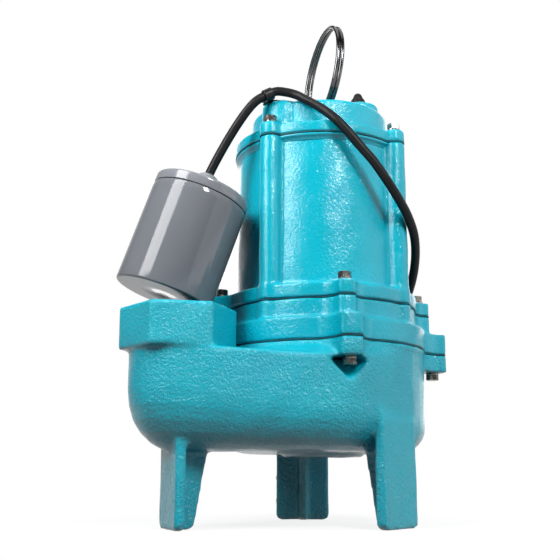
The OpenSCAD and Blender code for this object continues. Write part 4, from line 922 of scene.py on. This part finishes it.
# ---------------------------------------------------------------- floor, light and finish
# White studio: the floor and what lies beyond it show as white, and the floor keeps a soft
# shadow. One soft box stands at the front left, a smaller one is high at the front right, and
# wide ones are at the right, overhead and behind.

# Half the floor's side, and the camera's bearing from the shaft, in metres and degrees.
FLOOR_HALF, CAMERA_BEARING = 8, -102.4
# How bright rough surfaces find the floor and the world.
PAPER_BOUNCE, WORLD_FILL = 0.08, 0.05
# The floor glows a little less under the pump, from one radius to another in metres, and so
# keeps its shadow there.
SHADE_R, GLOW_R, SHADE_GLOW = 0.12, 0.28, 0.84
# A mirrored ray that runs away from the camera sees white, and any other a dark studio. The
# numbers are the cosines to the back at which the dark ends and the white is full.
BACK_WAY, DARK_FROM, WHITE_FROM, DARK_STUDIO = (0.169, 0.986, 0.0), 0.55, 0.97, 0.08

h = FLOOR_HALF
floor_mesh = bpy.data.meshes.new("floor")
floor_mesh.from_pydata([(-h, -h, 0), (h, -h, 0), (h, h, 0), (-h, h, 0)], [], [(0, 1, 2, 3)])
floor = bpy.data.objects.new("floor", floor_mesh)
bpy.context.scene.collection.objects.link(floor)


def seen_rays(tree):
    """1 for rays from the camera, reflections and glass, and 0 for light on rough surfaces."""
    rays = add(tree, "ShaderNodeLightPath")
    one = add(tree, "ShaderNodeMath", [(rays.outputs["Is Camera Ray"], 0),
                                       (rays.outputs["Is Glossy Ray"], 1)],
              {"operation": "MAXIMUM"})
    two = add(tree, "ShaderNodeMath", [(one.outputs[0], 0),
                                       (rays.outputs["Is Transmission Ray"], 1)],
              {"operation": "MAXIMUM"})
    return two.outputs[0]


floor_mat = bpy.data.materials.new("floor")
floor_mat.use_nodes = True
tree = floor_mat.node_tree
seen = seen_rays(tree)
base = tree.nodes["Principled BSDF"]
paper = add(tree, "ShaderNodeMapRange", [(seen, "Value")], To_Min=PAPER_BOUNCE, To_Max=1.0)
tree.links.new(paper.outputs["Result"], base.inputs["Base Color"])
base.inputs["Roughness"].default_value = 0.9
base.inputs["Specular IOR Level"].default_value = 0.0
glow = add(tree, "ShaderNodeEmission", Color=(1, 1, 1, 1), Strength=1.0)
place = add(tree, "ShaderNodeTexCoord")
far = add(tree, "ShaderNodeVectorMath", [(place.outputs["Object"], 0)], {"operation": "LENGTH"})
far = add(tree, "ShaderNodeMapRange", [(far.outputs["Value"], "Value")],
          {"interpolation_type": "SMOOTHSTEP"}, From_Min=SHADE_R, From_Max=GLOW_R,
          To_Min=SHADE_GLOW, To_Max=1.0)
share = add(tree, "ShaderNodeMath", [(seen, 0), (far.outputs["Result"], 1)],
            {"operation": "MULTIPLY"})
blend = add(tree, "ShaderNodeMixShader", [(share.outputs[0], 0), (base.outputs[0], 1),
                                          (glow.outputs[0], 2)])
tree.links.new(blend.outputs[0], tree.nodes["Material Output"].inputs["Surface"])
floor_mesh.materials.append(floor_mat)

world = bpy.data.worlds.new("studio")
bpy.context.scene.world = world
world.use_nodes = True
tree = world.node_tree
sky = tree.nodes["Background"]
sky.inputs["Color"].default_value = (1, 1, 1, 1)
way = add(tree, "ShaderNodeTexCoord")
ahead = add(tree, "ShaderNodeVectorMath", [(way.outputs["Generated"], 0)],
            {"operation": "DOT_PRODUCT"})
ahead.inputs[1].default_value = BACK_WAY
backdrop = add(tree, "ShaderNodeMapRange", [(ahead.outputs["Value"], "Value")],
               {"interpolation_type": "SMOOTHSTEP"}, From_Min=DARK_FROM, From_Max=WHITE_FROM,
               To_Min=DARK_STUDIO, To_Max=1.0)
rays = add(tree, "ShaderNodeLightPath")
shown = add(tree, "ShaderNodeMath", [(rays.outputs["Is Camera Ray"], 0),
                                     (backdrop.outputs["Result"], 1)], {"operation": "MAXIMUM"})
level = add(tree, "ShaderNodeMix", [(seen_rays(tree), 0), (shown.outputs[0], 3)])
level.inputs[2].default_value = WORLD_FILL
tree.links.new(level.outputs[0], sky.inputs["Strength"])


def soft_box(name, bearing, distance, height, aim, size, watts):
    """An area light at a bearing round the shaft, in degrees to the right of the camera's side,
    at a distance and height in metres, aimed at a height on the shaft."""
    data = bpy.data.lights.new(name, "AREA")
    data.shape = "RECTANGLE"
    data.size, data.size_y = size
    data.energy = watts
    lamp = bpy.data.objects.new(name, data)
    a = math.radians(CAMERA_BEARING + bearing)
    lamp.location = (shaft[0] + distance * math.cos(a), shaft[1] + distance * math.sin(a), height)
    target = Vector((shaft[0], shaft[1], aim))
    lamp.rotation_euler = (target - lamp.location).to_track_quat("-Z", "Y").to_euler()
    lamp.visible_camera = False
    bpy.context.scene.collection.objects.link(lamp)


soft_box("front_left", bearing=-44, distance=0.50, height=0.57, aim=0.28, size=(0.22, 0.48),
         watts=4.4)
soft_box("high_right", bearing=26, distance=1.00, height=0.90, aim=0.26, size=(0.18, 0.34),
         watts=11.0)
soft_box("right", bearing=82, distance=1.10, height=0.60, aim=0.25, size=(1.5, 1.3), watts=8.0)
soft_box("overhead", bearing=180, distance=0.15, height=1.50, aim=0.30, size=(0.90, 0.90),
         watts=3.0)
soft_box("behind", bearing=172, distance=1.20, height=0.70, aim=0.25, size=(1.5, 1.2), watts=8.0)

bpy.context.scene.view_settings.view_transform = "Standard"
